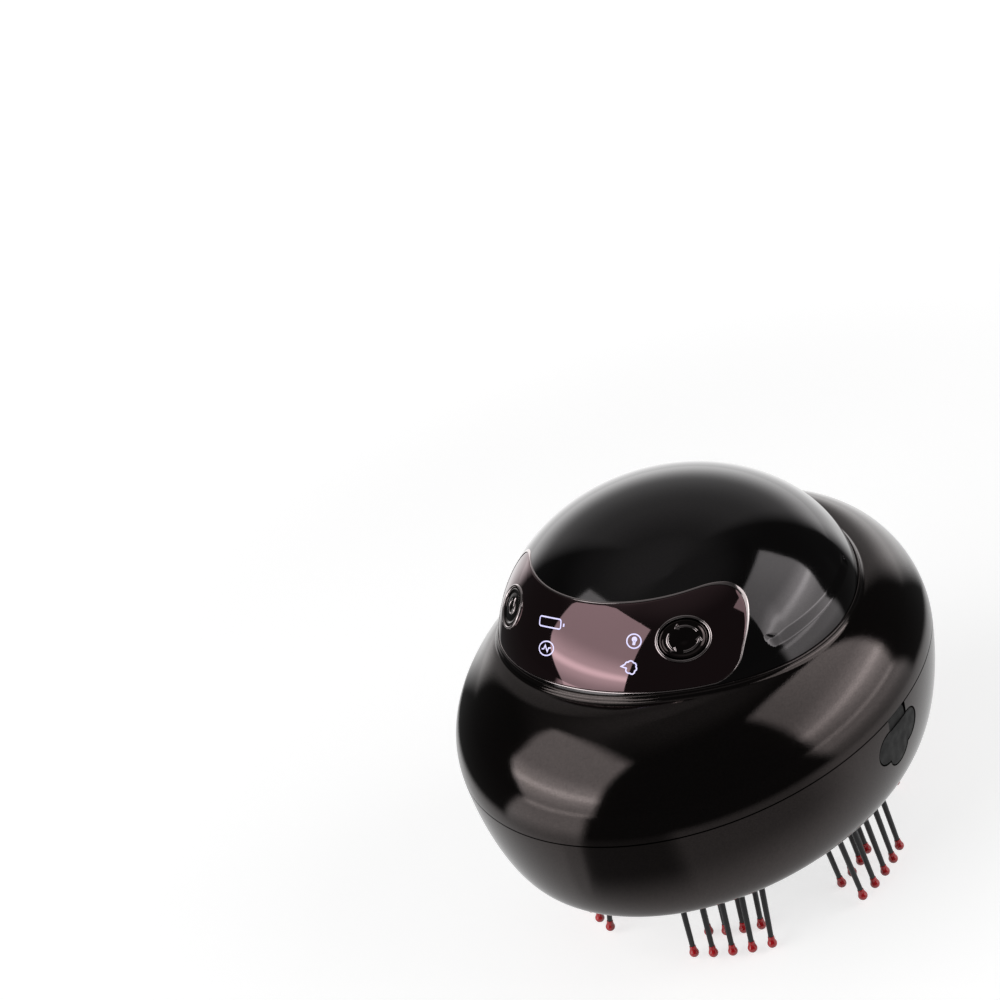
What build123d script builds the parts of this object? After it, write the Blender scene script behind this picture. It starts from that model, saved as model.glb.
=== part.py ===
from build123d import *
from math import acos, cos, radians, sin, sqrt
import os

# Electric scalp massager: an oval palm-held body with a domed top, a round rubber comb of six
# bristle pads underneath and a pull-out liquid applicator with four roller balls in its middle.
# Millimetres. Z is up, the surface it stands on is z = 0, and the display faces -Y.
# An azimuth is measured about Z from the front (-Y) towards +X.

# ---------------------------------------------------------------- body, seen from above and from the side
comb_hole_radius = 39.7     # round opening for the comb, inside the flat ring
ring_side_width = 1.4       # flat ring at the sides
ring_end_width = 10.4       # flat ring at the front and back
flare_x = 6.0               # how far the widest section stands out over the flat ring
flare_y = 5.3
shoulder_draw_x = 17.5      # how far the top of the shoulder is drawn in from the widest section
shoulder_draw_y = 14.8
ring_face_z = 24.0          # height of the flat ring over the surface that the bristle tips stand on
lower_height = 22.3         # flat ring to parting line
shoulder_height = 18.0      # parting line to top of the shoulder
lower_roundness = 1.73      # superellipse exponent of the lower casing's side, 2 is an ellipse
upper_roundness = 1.92
casing_wall = 2.2
floor_thickness = 2.0
loft_step = 15              # degrees of profile between two sections of a casing
seam_groove = 0.3           # width and depth of the fine line along the parting line
tongue_height = 1.2
tongue_thickness = 1.1
tongue_clearance = 0.1

# ---------------------------------------------------------------- dome and display
dome_radius = 37.3
dome_height = 28.45         # over its widest section
dome_sink = 3.55            # its widest section lies this far below the top of the shoulder
dome_skirt = 0.15           # upright part below the widest section
dome_wall = 2.6
dome_clearance = 0.15
ledge_width = 3.8           # seat of the dome in the upper casing
ledge_thickness = 1.8
neck_width = 2.1
rim_width = 0.95            # fine raised collar around the dome
rim_drop = 0.8              # top of the collar below the top of the shoulder
panel_half_width = 29.3
panel_rise = 5.6            # lower corners over the dome's widest section
panel_height = 14.75
panel_bow = 1.75            # the lower edge is higher in its middle
panel_top_corner = 9.2
panel_bottom_corner = 3.2
panel_thickness = 1.4
panel_clearance = 0.12
grip_rise = 8.6             # ledge of the side finger grips over the dome's widest section
grip_height = 9.6
grip_depth = 0.9
grip_flattening = 10.0      # how much larger a grip's radius is than the dome's

# ---------------------------------------------------------------- buttons and what they press
button_azimuth = 40.2
button_rise = 14.45         # middle of a button over the dome's widest section
button_half_width = 4.6
button_half_height = 3.6
button_proud = 0.25
button_clearance = 0.15
button_travel = 0.6
button_flange = 0.6         # how far the hidden flange is wider than the cap
button_flange_depth = 3.4   # below the dome's surface
button_flange_thickness = 1.0
button_stem_radius = 1.3
button_stem_length = 1.9
trim_width = 0.65
trim_proud = 0.12
trim_depth = 2.5
trim_clearance = 0.05
switch_side = 6.0
switch_height = 3.2
plunger_radius = 1.5
plunger_height = 0.5
press_gap = 0.1             # left between stem and plunger with the button fully pressed
board_thickness = 1.2
wing_board_inner = 4.0      # reach of a switch's board towards the middle of the display
wing_board_outer = 9.5
wing_board_width = 8.0
wing_post_offset = 7.8
wing_post_spread = 2.4
post_radius = 1.2
post_root = 0.12            # how far a post is sunk in the dome's wall
display_board_depth = 6.0
display_board_half_width = 12.0
display_board_height = 12.0
display_post_offset = 4.2
guide_radius = 0.9
guide_clearance = 0.1
guide_places = [(-12.0, 16.55), (-11.6, 12.45), (23.5, 15.15), (21.0, 11.25)]  # azimuth and rise of icons

# ---------------------------------------------------------------- lights in the flat ring
window_outset = 2.4         # middle of a window outside the comb's opening
window_azimuth = 17.5
window_length = 11.2
window_width = 2.8
window_rim = 0.5
window_clearance = 0.05
window_recess = 0.1
window_flange = 0.7
window_flange_thickness = 0.6
led_length = 3.0
led_width = 1.4
led_height = 0.8
led_gap = 0.2
led_board_length = 11.0
led_board_width = 5.6
led_board_outset = 1.6      # its middle outside the middle of the window
led_board_thickness = 1.0
led_post_radius = 0.8
led_post_offset = 4.4
led_post_outset = 1.9

# ---------------------------------------------------------------- casing screws and covers
screw_inset = 4.6           # from the front and back edge of the flat ring
cover_radius = 3.0
cover_thickness = 1.2
cover_clearance = 0.05
cover_recess = 0.1
lower_boss_radius = 4.4
lower_boss_height = 13.2
upper_boss_radius = 3.2
boss_gap = 0.2
head_radius = 2.2
head_height = 1.8
head_seat = 3.0             # seat of the screw head below the top of the lower boss
head_clearance = 0.25
shank_radius = 1.2
shank_length = 14.0
shank_clearance = 0.3
pilot_clearance = 0.05
pilot_spare = 2.0

# ---------------------------------------------------------------- rubber comb
comb_fit = 0.2
comb_floor_height = 1.0     # over the inside of the lower casing's floor
comb_thickness = 2.0
comb_rim_recess = 0.4       # rim behind the flat ring
comb_rim_width = 3.3
comb_rim_groove = 0.7
comb_rim_groove_inset = 1.6
comb_flange_width = 0.5     # how far the comb's flange laps the lower casing's floor
comb_flange_thickness = 2.0
comb_sleeve_gap = 0.15      # between the comb's sleeve and the applicator's socket
comb_sleeve_width = 1.95
comb_sleeve_recess = 1.0    # behind the flat ring
comb_step_width = 0.8
comb_step_recess = 2.0
pad_count = 6
pad_start_azimuth = 30.0
pad_gap_inner = 1.0         # pad's inner edge from the comb's sleeve
pad_length = 13.3           # along the radius
pad_inner_half_width = 7.4
pad_outer_half_width = 10.6
pad_corner = 2.2
pad_proud = 1.5             # over the flat ring
pad_thickness = 2.1
pad_clearance = 0.05
pad_lip = 0.9
pad_lip_proud = 0.2

# ---------------------------------------------------------------- bristles, five outside, four inside
outer_count = 5
outer_foot_inset = 1.7      # from the pad's outer edge
outer_foot_pitch = 4.3
outer_splay = 3.4           # how far the tips stand further out than the feet
outer_tip_pitch = 4.05
outer_tip_lift = 0.8        # the outer row ends a little higher
inner_count = 4
inner_foot_inset = 4.2      # from the pad's inner edge
inner_foot_pitch = 3.9
inner_splay = 3.8
inner_tip_pitch = 3.7
bristle_radius = 0.65
bristle_socket = 1.4        # depth in the pad
bristle_fit = 0.05
tip_radius = 1.1
tip_shoulder_radius = 1.05
tip_neck_radius = 0.8
tip_neck_length = 1.6

# ---------------------------------------------------------------- applicator cup and roller balls
cup_radius = 17.3
cup_proud = 10.5            # cup's face over the flat ring
cup_height = 17.0
cup_wall = 1.8
cup_edge = 0.6
cup_clearance = 0.15
lid_thickness = 1.2
lid_inset = 0.3
lid_plug_depth = 1.5
lid_clearance = 0.05
seal_drop = 2.9             # from the cup's rim to the middle of its seal
seal_radius = 0.8
seal_gap = 0.05
seal_groove_clearance = 0.05
tube_pitch = 12.9
tube_radius = 2.05
tube_collar = 0.45
tube_collar_height = 0.7
tube_spigot_radius = 1.4
tube_channel_radius = 0.5
tube_fit = 0.05
ball_radius = 1.75
ball_clearance = 0.05
ball_lift = 0.3             # height of the ball above the surface the tips stand on
retainer_top = 0.35         # retainer ring's faces below the ball's centre
retainer_bottom = 0.85
socket_wall = 1.05
socket_mouth_recess = 0.6   # behind the flat ring
socket_room = 0.5           # over the cup's lid
socket_roof = 3.0
socket_flange_width = 5.0
socket_flange_thickness = 2.2

# ---------------------------------------------------------------- inner frame and what it carries
frame_thickness = 2.0
frame_lap = 0.8             # how far the frame is wider than the comb's opening
frame_ear_radius = 2.6
frame_ear_azimuth = 38.0
frame_ear_outset = 2.7
frame_ear_arm = 4.5
frame_post_radius = 2.2
frame_screw_radius = 0.95
frame_screw_length = 6.0
frame_screw_head_radius = 1.9
frame_screw_head_height = 1.3
frame_hole_clearance = 0.15
retainer_ring_width = 2.8
board_post_radius = 2.0
board_post_height = 15.8
board_post_x = 29.0
board_post_front_y = -17.0
board_post_back_y = 27.0
main_board_thickness = 1.6
main_board_margin = 4.0
chip_side = 9.0
chip_height = 1.4
battery_length = 50.0
battery_width = 30.0
battery_height = 9.0
battery_corner = 2.0
battery_y = -8.0
tray_wall = 1.1
tray_floor = 1.0
tray_height = 5.8
tray_clearance = 0.1

# ---------------------------------------------------------------- vibration motor
motor_y = 22.0
motor_radius = 7.0
motor_lift = 1.0
motor_start_x = -16.0
motor_length = 24.0
motor_nose_radius = 3.0
motor_nose_length = 1.5
shaft_radius = 1.0
shaft_clearance = 0.05
shaft_inside = 12.0
shaft_outside = 9.0
weight_radius = 6.2
weight_length = 5.5
weight_gap = 1.0
weight_hub_radius = 2.0
weight_fit = 0.02
bracket_start_x = -12.0
bracket_length = 16.0
bracket_half_width = 9.0
bracket_over_axis = 3.0
bracket_fit = 0.05

# ---------------------------------------------------------------- charging port and its cover
port_board_length = 13.0
port_board_width = 16.0
port_board_thickness = 1.2
port_width = 8.94
port_height = 3.2
port_depth = 7.3
port_shell = 0.3
port_tongue_height = 0.7
port_tongue_width = 6.7
port_tongue_gap = 0.8
port_opening_clearance = 0.35
port_frame_thickness = 4.3  # thick wall behind the cover, from the widest section inwards
port_frame_margin = 3.0
port_recess_depth = 1.9     # recess that the cover lies in
port_cover_length = 14.4
port_cover_height = 7.0
port_cover_gap = 0.35
port_tab_radius = 3.4
port_tab_drop = 2.9
port_strap_width = 6.0
port_hinge_drop = 1.3       # below the parting line
port_hinge_radius = 0.8
port_plug_depth = 1.3
port_plug_gap = 0.4
anchor_depth = 1.6          # from the recess's floor inwards
anchor_hook_thickness = 1.3
anchor_hook_height = 1.4
anchor_gap = 0.15

# ---------------------------------------------------------------- places worked out from the above
ring_half_x = comb_hole_radius + ring_side_width
ring_half_y = comb_hole_radius + ring_end_width
seam_half_x = ring_half_x + flare_x
seam_half_y = ring_half_y + flare_y
shoulder_half_x = seam_half_x - shoulder_draw_x
shoulder_half_y = seam_half_y - shoulder_draw_y
seam_z = ring_face_z + lower_height
shoulder_z = seam_z + shoulder_height
floor_top_z = ring_face_z + floor_thickness

dome_centre_z = shoulder_z - dome_sink
ledge_z = dome_centre_z - dome_skirt
ledge_inner_radius = dome_radius - ledge_width
rim_z = shoulder_z - rim_drop
panel_bottom_z = dome_centre_z + panel_rise
panel_top_z = panel_bottom_z + panel_height
grip_bottom_z = dome_centre_z + grip_rise
grip_top_z = grip_bottom_z + grip_height
button_z = dome_centre_z + button_rise
trim_grow = button_clearance + trim_width
stem_end = button_flange_depth + button_flange_thickness + button_stem_length
switch_top = stem_end + button_travel + press_gap + plunger_height
wing_board_top = switch_top + switch_height
through_dome = 2 * dome_wall

window_radius = comb_hole_radius + window_outset
led_board_radius = window_radius + led_board_outset
screw_y = ring_half_y - screw_inset
cover_seat_z = ring_face_z + cover_recess + cover_thickness
lower_boss_top_z = ring_face_z + lower_boss_height
head_seat_z = lower_boss_top_z - head_seat

cup_face_z = ring_face_z - cup_proud
cup_rim_z = cup_face_z + cup_height
seal_z = cup_rim_z - seal_drop
lid_radius = cup_radius - lid_inset
ball_z = ball_lift + ball_radius
socket_radius = cup_radius + cup_clearance
socket_outer_radius = socket_radius + socket_wall
socket_mouth_z = ring_face_z + socket_mouth_recess
socket_depth_z = cup_rim_z + lid_thickness + socket_room
frame_z = socket_depth_z + socket_roof
frame_top_z = frame_z + frame_thickness
main_board_z = frame_z + frame_thickness + board_post_height

comb_radius = comb_hole_radius - comb_fit
comb_floor_z = floor_top_z + comb_floor_height
comb_top_z = floor_top_z + comb_flange_thickness
comb_rim_z = ring_face_z + comb_rim_recess
comb_rim_groove_radius = comb_radius - comb_rim_groove_inset
comb_flange_radius = comb_hole_radius + comb_flange_width
comb_sleeve_radius = socket_outer_radius + comb_sleeve_gap
comb_sleeve_outer = comb_sleeve_radius + comb_sleeve_width
comb_sleeve_z = ring_face_z + comb_sleeve_recess
comb_step_z = ring_face_z + comb_step_recess
pad_inner = comb_sleeve_outer + pad_gap_inner
pad_outer = pad_inner + pad_length
pad_face_z = ring_face_z - pad_proud
outer_foot_radius = pad_outer - outer_foot_inset
outer_tip_radius = outer_foot_radius + outer_splay
inner_foot_radius = pad_inner + inner_foot_inset
inner_tip_radius = inner_foot_radius + inner_splay

frame_radius = comb_hole_radius + frame_lap
frame_ear_place = frame_radius + frame_ear_outset
motor_axis_z = frame_top_z + motor_lift + motor_radius
port_z = frame_top_z + port_board_thickness + port_height / 2
port_recess_x = seam_half_x - port_recess_depth
port_frame_x = seam_half_x - port_frame_thickness
port_hinge_z = seam_z - port_hinge_drop
anchor_inner_x = port_recess_x - anchor_depth
anchor_hook_x = anchor_inner_x + anchor_hook_thickness
reach = 200.0               # larger than the whole body, for cutting tools


# ---------------------------------------------------------------- helpers
def at(radius, azimuth, z=0.0):
    """Place on the circle; the local -Y points outward and the local X runs along the circle."""
    turn = radians(azimuth)
    return Pos(radius * sin(turn), -radius * cos(turn), z) * Rot(0, 0, azimuth)


def disc(radius, low, high):
    return Pos(0, 0, low) * extrude(Circle(radius), high - low)


def tube(outer, inner, low, high):
    return Pos(0, 0, low) * extrude(Circle(outer) - Circle(inner), high - low)


def block(low, high):
    """Box between two corners."""
    size = [b - a for a, b in zip(low, high)]
    return Pos(*low) * Box(*size, align=(Align.MIN, Align.MIN, Align.MIN))


def bar(start, end, radius):
    """Round bar from one point to another."""
    path = Vector(*end) - Vector(*start)
    return Plane(origin=start, z_dir=path) * extrude(Circle(radius), path.length)


def slot_prism(length, width, low, high):
    return Pos(0, 0, low) * extrude(SlotOverall(length, width), high - low)


def group(pieces):
    """Separate solids that share one node."""
    solids = [solid for piece in pieces for solid in piece.solids()]
    return Compound(children=solids) if len(solids) > 1 else solids[0]


parts = {}


# ---------------------------------------------------------------- casings
def lower_half_sizes(z):
    """Half sizes of the lower casing's outer oval at height z."""
    rise = min(max((z - ring_face_z) / (seam_z - ring_face_z), 0.0), 1.0)
    angle = acos((1 - rise) ** (lower_roundness / 2))
    grow = sin(angle) ** (2 / lower_roundness)
    half_x = ring_half_x + (seam_half_x - ring_half_x) * grow
    half_y = ring_half_y + (seam_half_y - ring_half_y) * grow
    return half_x, half_y


def loft_ovals(sections):
    return loft([Pos(0, 0, z) * Ellipse(half_x, half_y) for half_x, half_y, z in sections])


def lower_solid(bottom_z, inset):
    """The lower casing's outer form, or its hollow when inset by the wall."""
    sections = []
    for angle in range(0, 91, loft_step):
        z = bottom_z + (seam_z - bottom_z) * (1 - cos(radians(angle)) ** (2 / lower_roundness))
        half_x, half_y = lower_half_sizes(z)
        sections.append((half_x - inset, half_y - inset, z))
    return loft_ovals(sections)


def upper_solid(inset):
    """The upper casing's outer form, or its hollow when inset by the wall."""
    sections = []
    for angle in range(0, 91, loft_step):
        out = cos(radians(angle)) ** (2 / upper_roundness) if angle < 90 else 0.0
        up = sin(radians(angle)) ** (2 / upper_roundness)
        half_x = shoulder_half_x + (seam_half_x - inset - shoulder_half_x) * out
        half_y = shoulder_half_y + (seam_half_y - inset - shoulder_half_y) * out
        sections.append((half_x, half_y, seam_z + (shoulder_z - inset - seam_z) * up))
    return loft_ovals(sections)


def oval_ring(outset, width, low, high):
    """Upright oval band, measured inwards from the seam's outer oval."""
    outer = Ellipse(seam_half_x - outset, seam_half_y - outset)
    inner = Ellipse(seam_half_x - outset - width, seam_half_y - outset - width)
    return Pos(0, 0, low) * extrude(outer - inner, high - low)


def screw_places():
    return [Pos(0, side * screw_y, 0) for side in (-1, 1)]


def four_azimuths(azimuth):
    """An azimuth and its mirror images, left to right and front to back."""
    return azimuth, 180 - azimuth, 180 + azimuth, -azimuth


def ear_places():
    return [at(frame_ear_place, azimuth) for azimuth in four_azimuths(frame_ear_azimuth)]


def window_places(radius):
    return [at(radius, azimuth) for azimuth in four_azimuths(window_azimuth)]


def port_outline(grow):
    """Outline of the port cover on the YZ plane: capsule, nail tab below and strap above."""
    capsule = SlotOverall(port_cover_length + 2 * grow, port_cover_height + 2 * grow)
    tab = Pos(0, -port_tab_drop) * Circle(port_tab_radius + grow)
    strap_height = port_hinge_z - port_z
    strap = Pos(0, strap_height / 2) * Rectangle(port_strap_width + 2 * grow, strap_height)
    return Pos(0, port_z) * (capsule + tab + strap)


def along_x(sketch, start_x, end_x):
    """Prism along X of a sketch whose plane is YZ."""
    return Plane.YZ.offset(start_x) * extrude(sketch, end_x - start_x)


lower_outer = lower_solid(ring_face_z, 0.0)
upper_outer = upper_solid(0.0)
seam_half_groove = seam_groove / 2
seam_cut = oval_ring(-seam_groove, 2 * seam_groove, seam_z - seam_half_groove, seam_z + seam_half_groove)


def make_lower_casing():
    body = lower_outer - lower_solid(floor_top_z, casing_wall)
    body -= disc(comb_hole_radius, ring_face_z, floor_top_z)
    for place in screw_places():
        boss = place * disc(lower_boss_radius, ring_face_z, lower_boss_top_z)
        body += boss & lower_outer
    for place in ear_places():
        body += place * disc(frame_post_radius, ring_face_z, frame_z) & lower_outer
    led_board_z = floor_top_z + window_flange_thickness + led_gap + led_height
    for place in window_places(led_board_radius):
        for side in (-1, 1):
            post = disc(led_post_radius, ring_face_z, led_board_z)
            body += place * Pos(side * led_post_offset, -led_post_outset, 0) * post
    # thick wall behind the port cover
    frame_half = port_cover_length / 2 + port_frame_margin
    frame_low = port_z - port_tab_drop - port_tab_radius - port_frame_margin
    thick = block((port_frame_x, -frame_half, frame_low), (reach, frame_half, seam_z))
    body += thick & lower_outer
    # tongue that the upper casing laps over
    tongue_low = seam_z - casing_wall
    body += oval_ring(tongue_thickness, tongue_thickness, tongue_low, seam_z + tongue_height)
    # holes for the screws and their covers
    for place in screw_places():
        body -= place * disc(cover_radius + cover_clearance, ring_face_z, cover_seat_z)
        body -= place * disc(head_radius + head_clearance, ring_face_z, head_seat_z)
        body -= place * disc(shank_radius + shank_clearance, head_seat_z, lower_boss_top_z)
    for place in ear_places():
        body -= place * disc(frame_screw_radius + pilot_clearance, frame_z - frame_screw_length, frame_z)
    for place in window_places(window_radius):
        length = window_length + 2 * window_clearance
        width = window_width + 2 * window_clearance
        body -= place * slot_prism(length, width, ring_face_z, floor_top_z)
    # recess of the port cover, the opening behind it and the notch of the strap's anchor
    body -= along_x(port_outline(port_cover_gap), port_recess_x, reach)
    strap_half = port_strap_width / 2 + port_cover_gap
    body -= block((port_recess_x, -strap_half, port_hinge_z), (reach, strap_half, seam_z))
    opening = SlotOverall(port_width + 2 * port_opening_clearance, port_height + 2 * port_opening_clearance)
    body -= along_x(Pos(0, port_z) * opening, port_frame_x - casing_wall, reach)
    body -= anchor_form(anchor_gap / 2)
    return body - seam_cut


def anchor_form(grow):
    """Tail of the port cover's strap, clamped at the seam."""
    half = port_strap_width / 2 - anchor_gap + grow
    low = port_hinge_z + port_hinge_radius + anchor_gap - grow
    top = block((anchor_inner_x - grow, -half, low), (port_recess_x + port_hinge_radius, half, seam_z))
    hook = block((anchor_inner_x - grow, -half, seam_z - anchor_hook_height - grow),
                 (anchor_hook_x + grow, half, seam_z))
    return top + hook


def make_upper_casing():
    body = upper_outer - upper_solid(casing_wall)
    neck_radius = dome_radius + dome_clearance
    ledge_bottom = ledge_z - ledge_thickness
    body += tube(neck_radius + neck_width, neck_radius, ledge_bottom, shoulder_z) & upper_outer
    body += tube(neck_radius + neck_width, ledge_inner_radius, ledge_bottom, ledge_z) & upper_outer
    bead_radius = rim_width / 2
    bead_z = rim_z - bead_radius
    body += tube(neck_radius + rim_width, neck_radius, ledge_z, bead_z)
    body += Pos(0, 0, bead_z) * Torus(neck_radius + bead_radius, bead_radius)
    boss_low = lower_boss_top_z + boss_gap
    for place in screw_places():
        stem = place * disc(upper_boss_radius, boss_low, seam_z)
        body += stem + (place * disc(upper_boss_radius, seam_z, shoulder_z) & upper_outer)
    body -= disc(neck_radius, ledge_z, shoulder_z)
    for place in screw_places():
        pilot_top = head_seat_z + shank_length + pilot_spare
        body -= place * disc(shank_radius + pilot_clearance, boss_low, pilot_top)
    tongue_outset = tongue_thickness - tongue_clearance
    tongue_room = tongue_thickness + 2 * tongue_clearance
    lap = oval_ring(tongue_outset, tongue_room, seam_z, seam_z + tongue_height + tongue_clearance)
    return body - lap - seam_cut


# ---------------------------------------------------------------- dome
def ellipsoid(offset):
    """The dome's form, grown by offset, closed at its widest section."""
    across = dome_radius + offset
    up = dome_height + offset
    ball = scale(Sphere(1.0), by=(across, across, up))
    upper = block((-reach, -reach, 0), (reach, reach, reach))
    skirt = disc(across, ledge_z, dome_centre_z)
    return Pos(0, 0, dome_centre_z) * (ball & upper) + skirt


def dome_plane(azimuth, z):
    """Plane touching the dome, its Z outward and its X level."""
    level = (z - dome_centre_z) / dome_height
    radius = dome_radius * sqrt(1 - level ** 2)
    turn = radians(azimuth)
    side = radius / dome_radius ** 2
    lift = (z - dome_centre_z) / dome_height ** 2
    normal = (side * sin(turn), -side * cos(turn), lift)
    origin = (radius * sin(turn), -radius * cos(turn), z)
    return Plane(origin=origin, x_dir=(cos(turn), sin(turn), 0), z_dir=normal)


def panel_prism(grow):
    """Rounded outline seen from the front, bowed below, running through the dome's front half."""
    side, low, high = panel_half_width + grow, panel_bottom_z - grow, panel_top_z + grow
    bow = ThreePointArc((-side, low), (0, low + panel_bow), (side, low))
    outline = make_face(bow + Polyline((side, low), (side, high), (-side, high), (-side, low)))
    top = outline.vertices().sort_by(Axis.Y)[2:]
    outline = fillet(top, panel_top_corner + grow)
    bottom = outline.vertices().sort_by(Axis.Y)[:2]
    outline = fillet(bottom, panel_bottom_corner + grow)
    return Plane.XZ * extrude(outline, reach)


def grip_cut(side):
    """Tool for a finger grip: a shallow sloping scoop that ends at a level ledge."""
    def radius_at(z):
        return dome_radius * sqrt(1 - ((z - dome_centre_z) / dome_height) ** 2)
    low_radius = radius_at(grip_bottom_z) - grip_depth
    high_radius = radius_at(grip_top_z)
    rise = grip_top_z - grip_bottom_z
    normal = (side * rise, 0, low_radius - high_radius)
    scoop = Plane(origin=(side * low_radius, 0, grip_bottom_z), x_dir=(0, side, 0), z_dir=normal)
    scoop_radius = dome_radius + grip_flattening
    core = Pos(0, 0, -scoop_radius) * Rot(90, 0, 0) * Cylinder(scoop_radius, 2 * reach)
    outside = scoop * (Pos(0, 0, -dome_radius / 2) * extrude(Rectangle(reach, reach), reach) - core)
    return outside & block((-reach, -reach, grip_bottom_z), (reach, reach, reach))


button_planes = {
    "power": dome_plane(-button_azimuth, button_z),
    "mode": dome_plane(button_azimuth, button_z),
}
display_plane = dome_plane(0.0, button_z)


def outward_side(plane):
    """Which way along a button plane's X leads away from the middle of the display."""
    return 1 if plane.origin.X > 0 else -1


def button_prism(grow, depth, height=dome_wall):
    """Oval prism from a depth below the surface to a height above it."""
    oval = Ellipse(button_half_width + grow, button_half_height + grow)
    return Pos(0, 0, -depth) * extrude(oval, depth + height)


def guide_bar(azimuth, rise, radius):
    """Bar from the display board out through the dome at an icon's place."""
    place = dome_plane(azimuth, dome_centre_z + rise).origin
    local = display_plane.to_local_coords(place)
    rod = Pos(local.X, local.Y, -display_board_depth) * extrude(Circle(radius), 2 * display_board_depth)
    return display_plane * rod


def make_dome_shell():
    shell = ellipsoid(0.0) - ellipsoid(-dome_wall)
    inside = ellipsoid(post_root - dome_wall)
    shell -= panel_prism(panel_clearance) - ellipsoid(-panel_thickness - panel_clearance)
    for side in (-1, 1):
        shell -= grip_cut(side)
    for plane in button_planes.values():
        outer_x = wing_post_offset * outward_side(plane)
        for side in (-1, 1):
            post = Pos(outer_x, side * wing_post_spread, -wing_board_top) * extrude(
                Circle(post_radius), wing_board_top)
            shell += plane * post & inside
    for side in (-1, 1):
        post = Pos(0, side * display_post_offset, -display_board_depth) * extrude(
            Circle(post_radius), display_board_depth)
        shell += display_plane * post & inside
    for plane in button_planes.values():
        shell -= plane * button_prism(trim_grow, through_dome)
    for azimuth, rise in guide_places:
        shell -= guide_bar(azimuth, rise, guide_radius + guide_clearance)
    return shell


def make_display_panel():
    panel = panel_prism(0.0) & (ellipsoid(0.0) - ellipsoid(-panel_thickness))
    for plane in button_planes.values():
        panel -= plane * button_prism(trim_grow, through_dome)
    return panel


def make_button(plane):
    cap = plane * button_prism(0.0, button_flange_depth) & ellipsoid(button_proud)
    oval = Ellipse(button_half_width + button_flange, button_half_height + button_flange)
    flange_low = -button_flange_depth - button_flange_thickness
    flange = Pos(0, 0, flange_low) * extrude(oval, button_flange_thickness)
    stem = Pos(0, 0, -stem_end) * extrude(Circle(button_stem_radius), stem_end - button_flange_depth)
    return cap + plane * flange + plane * stem


def make_button_ring(plane):
    """Bright trim around a button, held in the hole through the panel and the shell."""
    band = button_prism(trim_grow - trim_clearance, dome_wall) - button_prism(button_clearance, dome_wall)
    return plane * band & (ellipsoid(trim_proud) - ellipsoid(-trim_depth))


def make_button_switch(plane):
    body = Pos(0, 0, -wing_board_top) * extrude(Rectangle(switch_side, switch_side), switch_height)
    plunger = Pos(0, 0, -switch_top) * extrude(Circle(plunger_radius), plunger_height)
    return plane * (body + plunger)


def make_display_boards():
    boards = []
    for plane in button_planes.values():
        middle_x = outward_side(plane) * (wing_board_outer - wing_board_inner) / 2
        wing = extrude(Rectangle(wing_board_inner + wing_board_outer, wing_board_width), board_thickness)
        boards.append(plane * Pos(middle_x, 0, -wing_board_top - board_thickness) * wing)
    middle = extrude(Rectangle(2 * display_board_half_width, display_board_height), board_thickness)
    boards.append(display_plane * Pos(0, 0, -display_board_depth - board_thickness) * middle)
    return group(boards)


def make_light_guides():
    behind_panel = ellipsoid(-panel_thickness - panel_clearance)
    return group([guide_bar(azimuth, rise, guide_radius) & behind_panel for azimuth, rise in guide_places])


parts["lower_casing"] = make_lower_casing()
parts["upper_casing"] = make_upper_casing()
parts["dome_shell"] = make_dome_shell()
parts["display_panel"] = make_display_panel()
for name, plane in button_planes.items():
    parts[f"{name}_button"] = make_button(plane)
    parts[f"{name}_button_ring"] = make_button_ring(plane)
parts["button_switches"] = group([make_button_switch(plane) for plane in button_planes.values()])
parts["display_boards"] = make_display_boards()
parts["light_guides"] = make_light_guides()


# ---------------------------------------------------------------- lights in the flat ring
def make_lights():
    flange_top = floor_top_z + window_flange_thickness
    lens_length = window_length - 2 * window_rim
    lens_width = window_width - 2 * window_rim
    bezel = slot_prism(window_length, window_width, ring_face_z, floor_top_z)
    flange_length = window_length + window_flange
    bezel += slot_prism(flange_length, window_width + window_flange, floor_top_z, flange_top)
    bezel -= slot_prism(lens_length, lens_width, ring_face_z, flange_top)
    lens = slot_prism(lens_length - 2 * window_clearance, lens_width - 2 * window_clearance,
                      ring_face_z + window_recess, flange_top)
    led_low = flange_top + led_gap
    board_low = led_low + led_height
    led = block((-led_length / 2, -led_width / 2, led_low), (led_length / 2, led_width / 2, board_low))
    half = (led_board_length / 2, led_board_width / 2)
    board = block((-half[0], -half[1], board_low), (half[0], half[1], board_low + led_board_thickness))
    parts["light_bezels"] = group([place * bezel for place in window_places(window_radius)])
    parts["light_windows"] = group([place * lens for place in window_places(window_radius)])
    parts["window_leds"] = group([place * led for place in window_places(window_radius)])
    parts["led_boards"] = group([place * board for place in window_places(led_board_radius)])


make_lights()


# ---------------------------------------------------------------- screws
def screw(radius, length, big_radius, big_height):
    """Screw with its shank along +Z and its head below z = 0."""
    return disc(radius, 0, length) + disc(big_radius, -big_height, 0)


casing_screw = screw(shank_radius, shank_length, head_radius, head_height)
frame_screw = Rot(180, 0, 0) * screw(
    frame_screw_radius, frame_screw_length, frame_screw_head_radius, frame_screw_head_height)
parts["casing_screws"] = group([place * Pos(0, 0, head_seat_z) * casing_screw for place in screw_places()])
cover = disc(cover_radius, ring_face_z + cover_recess, cover_seat_z)
parts["screw_covers"] = group([place * cover for place in screw_places()])


# ---------------------------------------------------------------- comb
def pad_places():
    return [at(0, pad_start_azimuth + index * 360 / pad_count) for index in range(pad_count)]


def pad_outline(grow):
    """Rounded trapezoid; the local -Y points outward."""
    slope = (pad_outer_half_width - pad_inner_half_width) / (pad_outer - pad_inner)
    inner = pad_inner_half_width + grow - slope * grow
    outer = pad_outer_half_width + grow + slope * grow
    corners = [(-inner, -pad_inner + grow), (inner, -pad_inner + grow),
               (outer, -pad_outer - grow), (-outer, -pad_outer - grow)]
    face = make_face(Polyline(*corners, close=True))
    return fillet(face.vertices(), pad_corner + grow)


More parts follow.
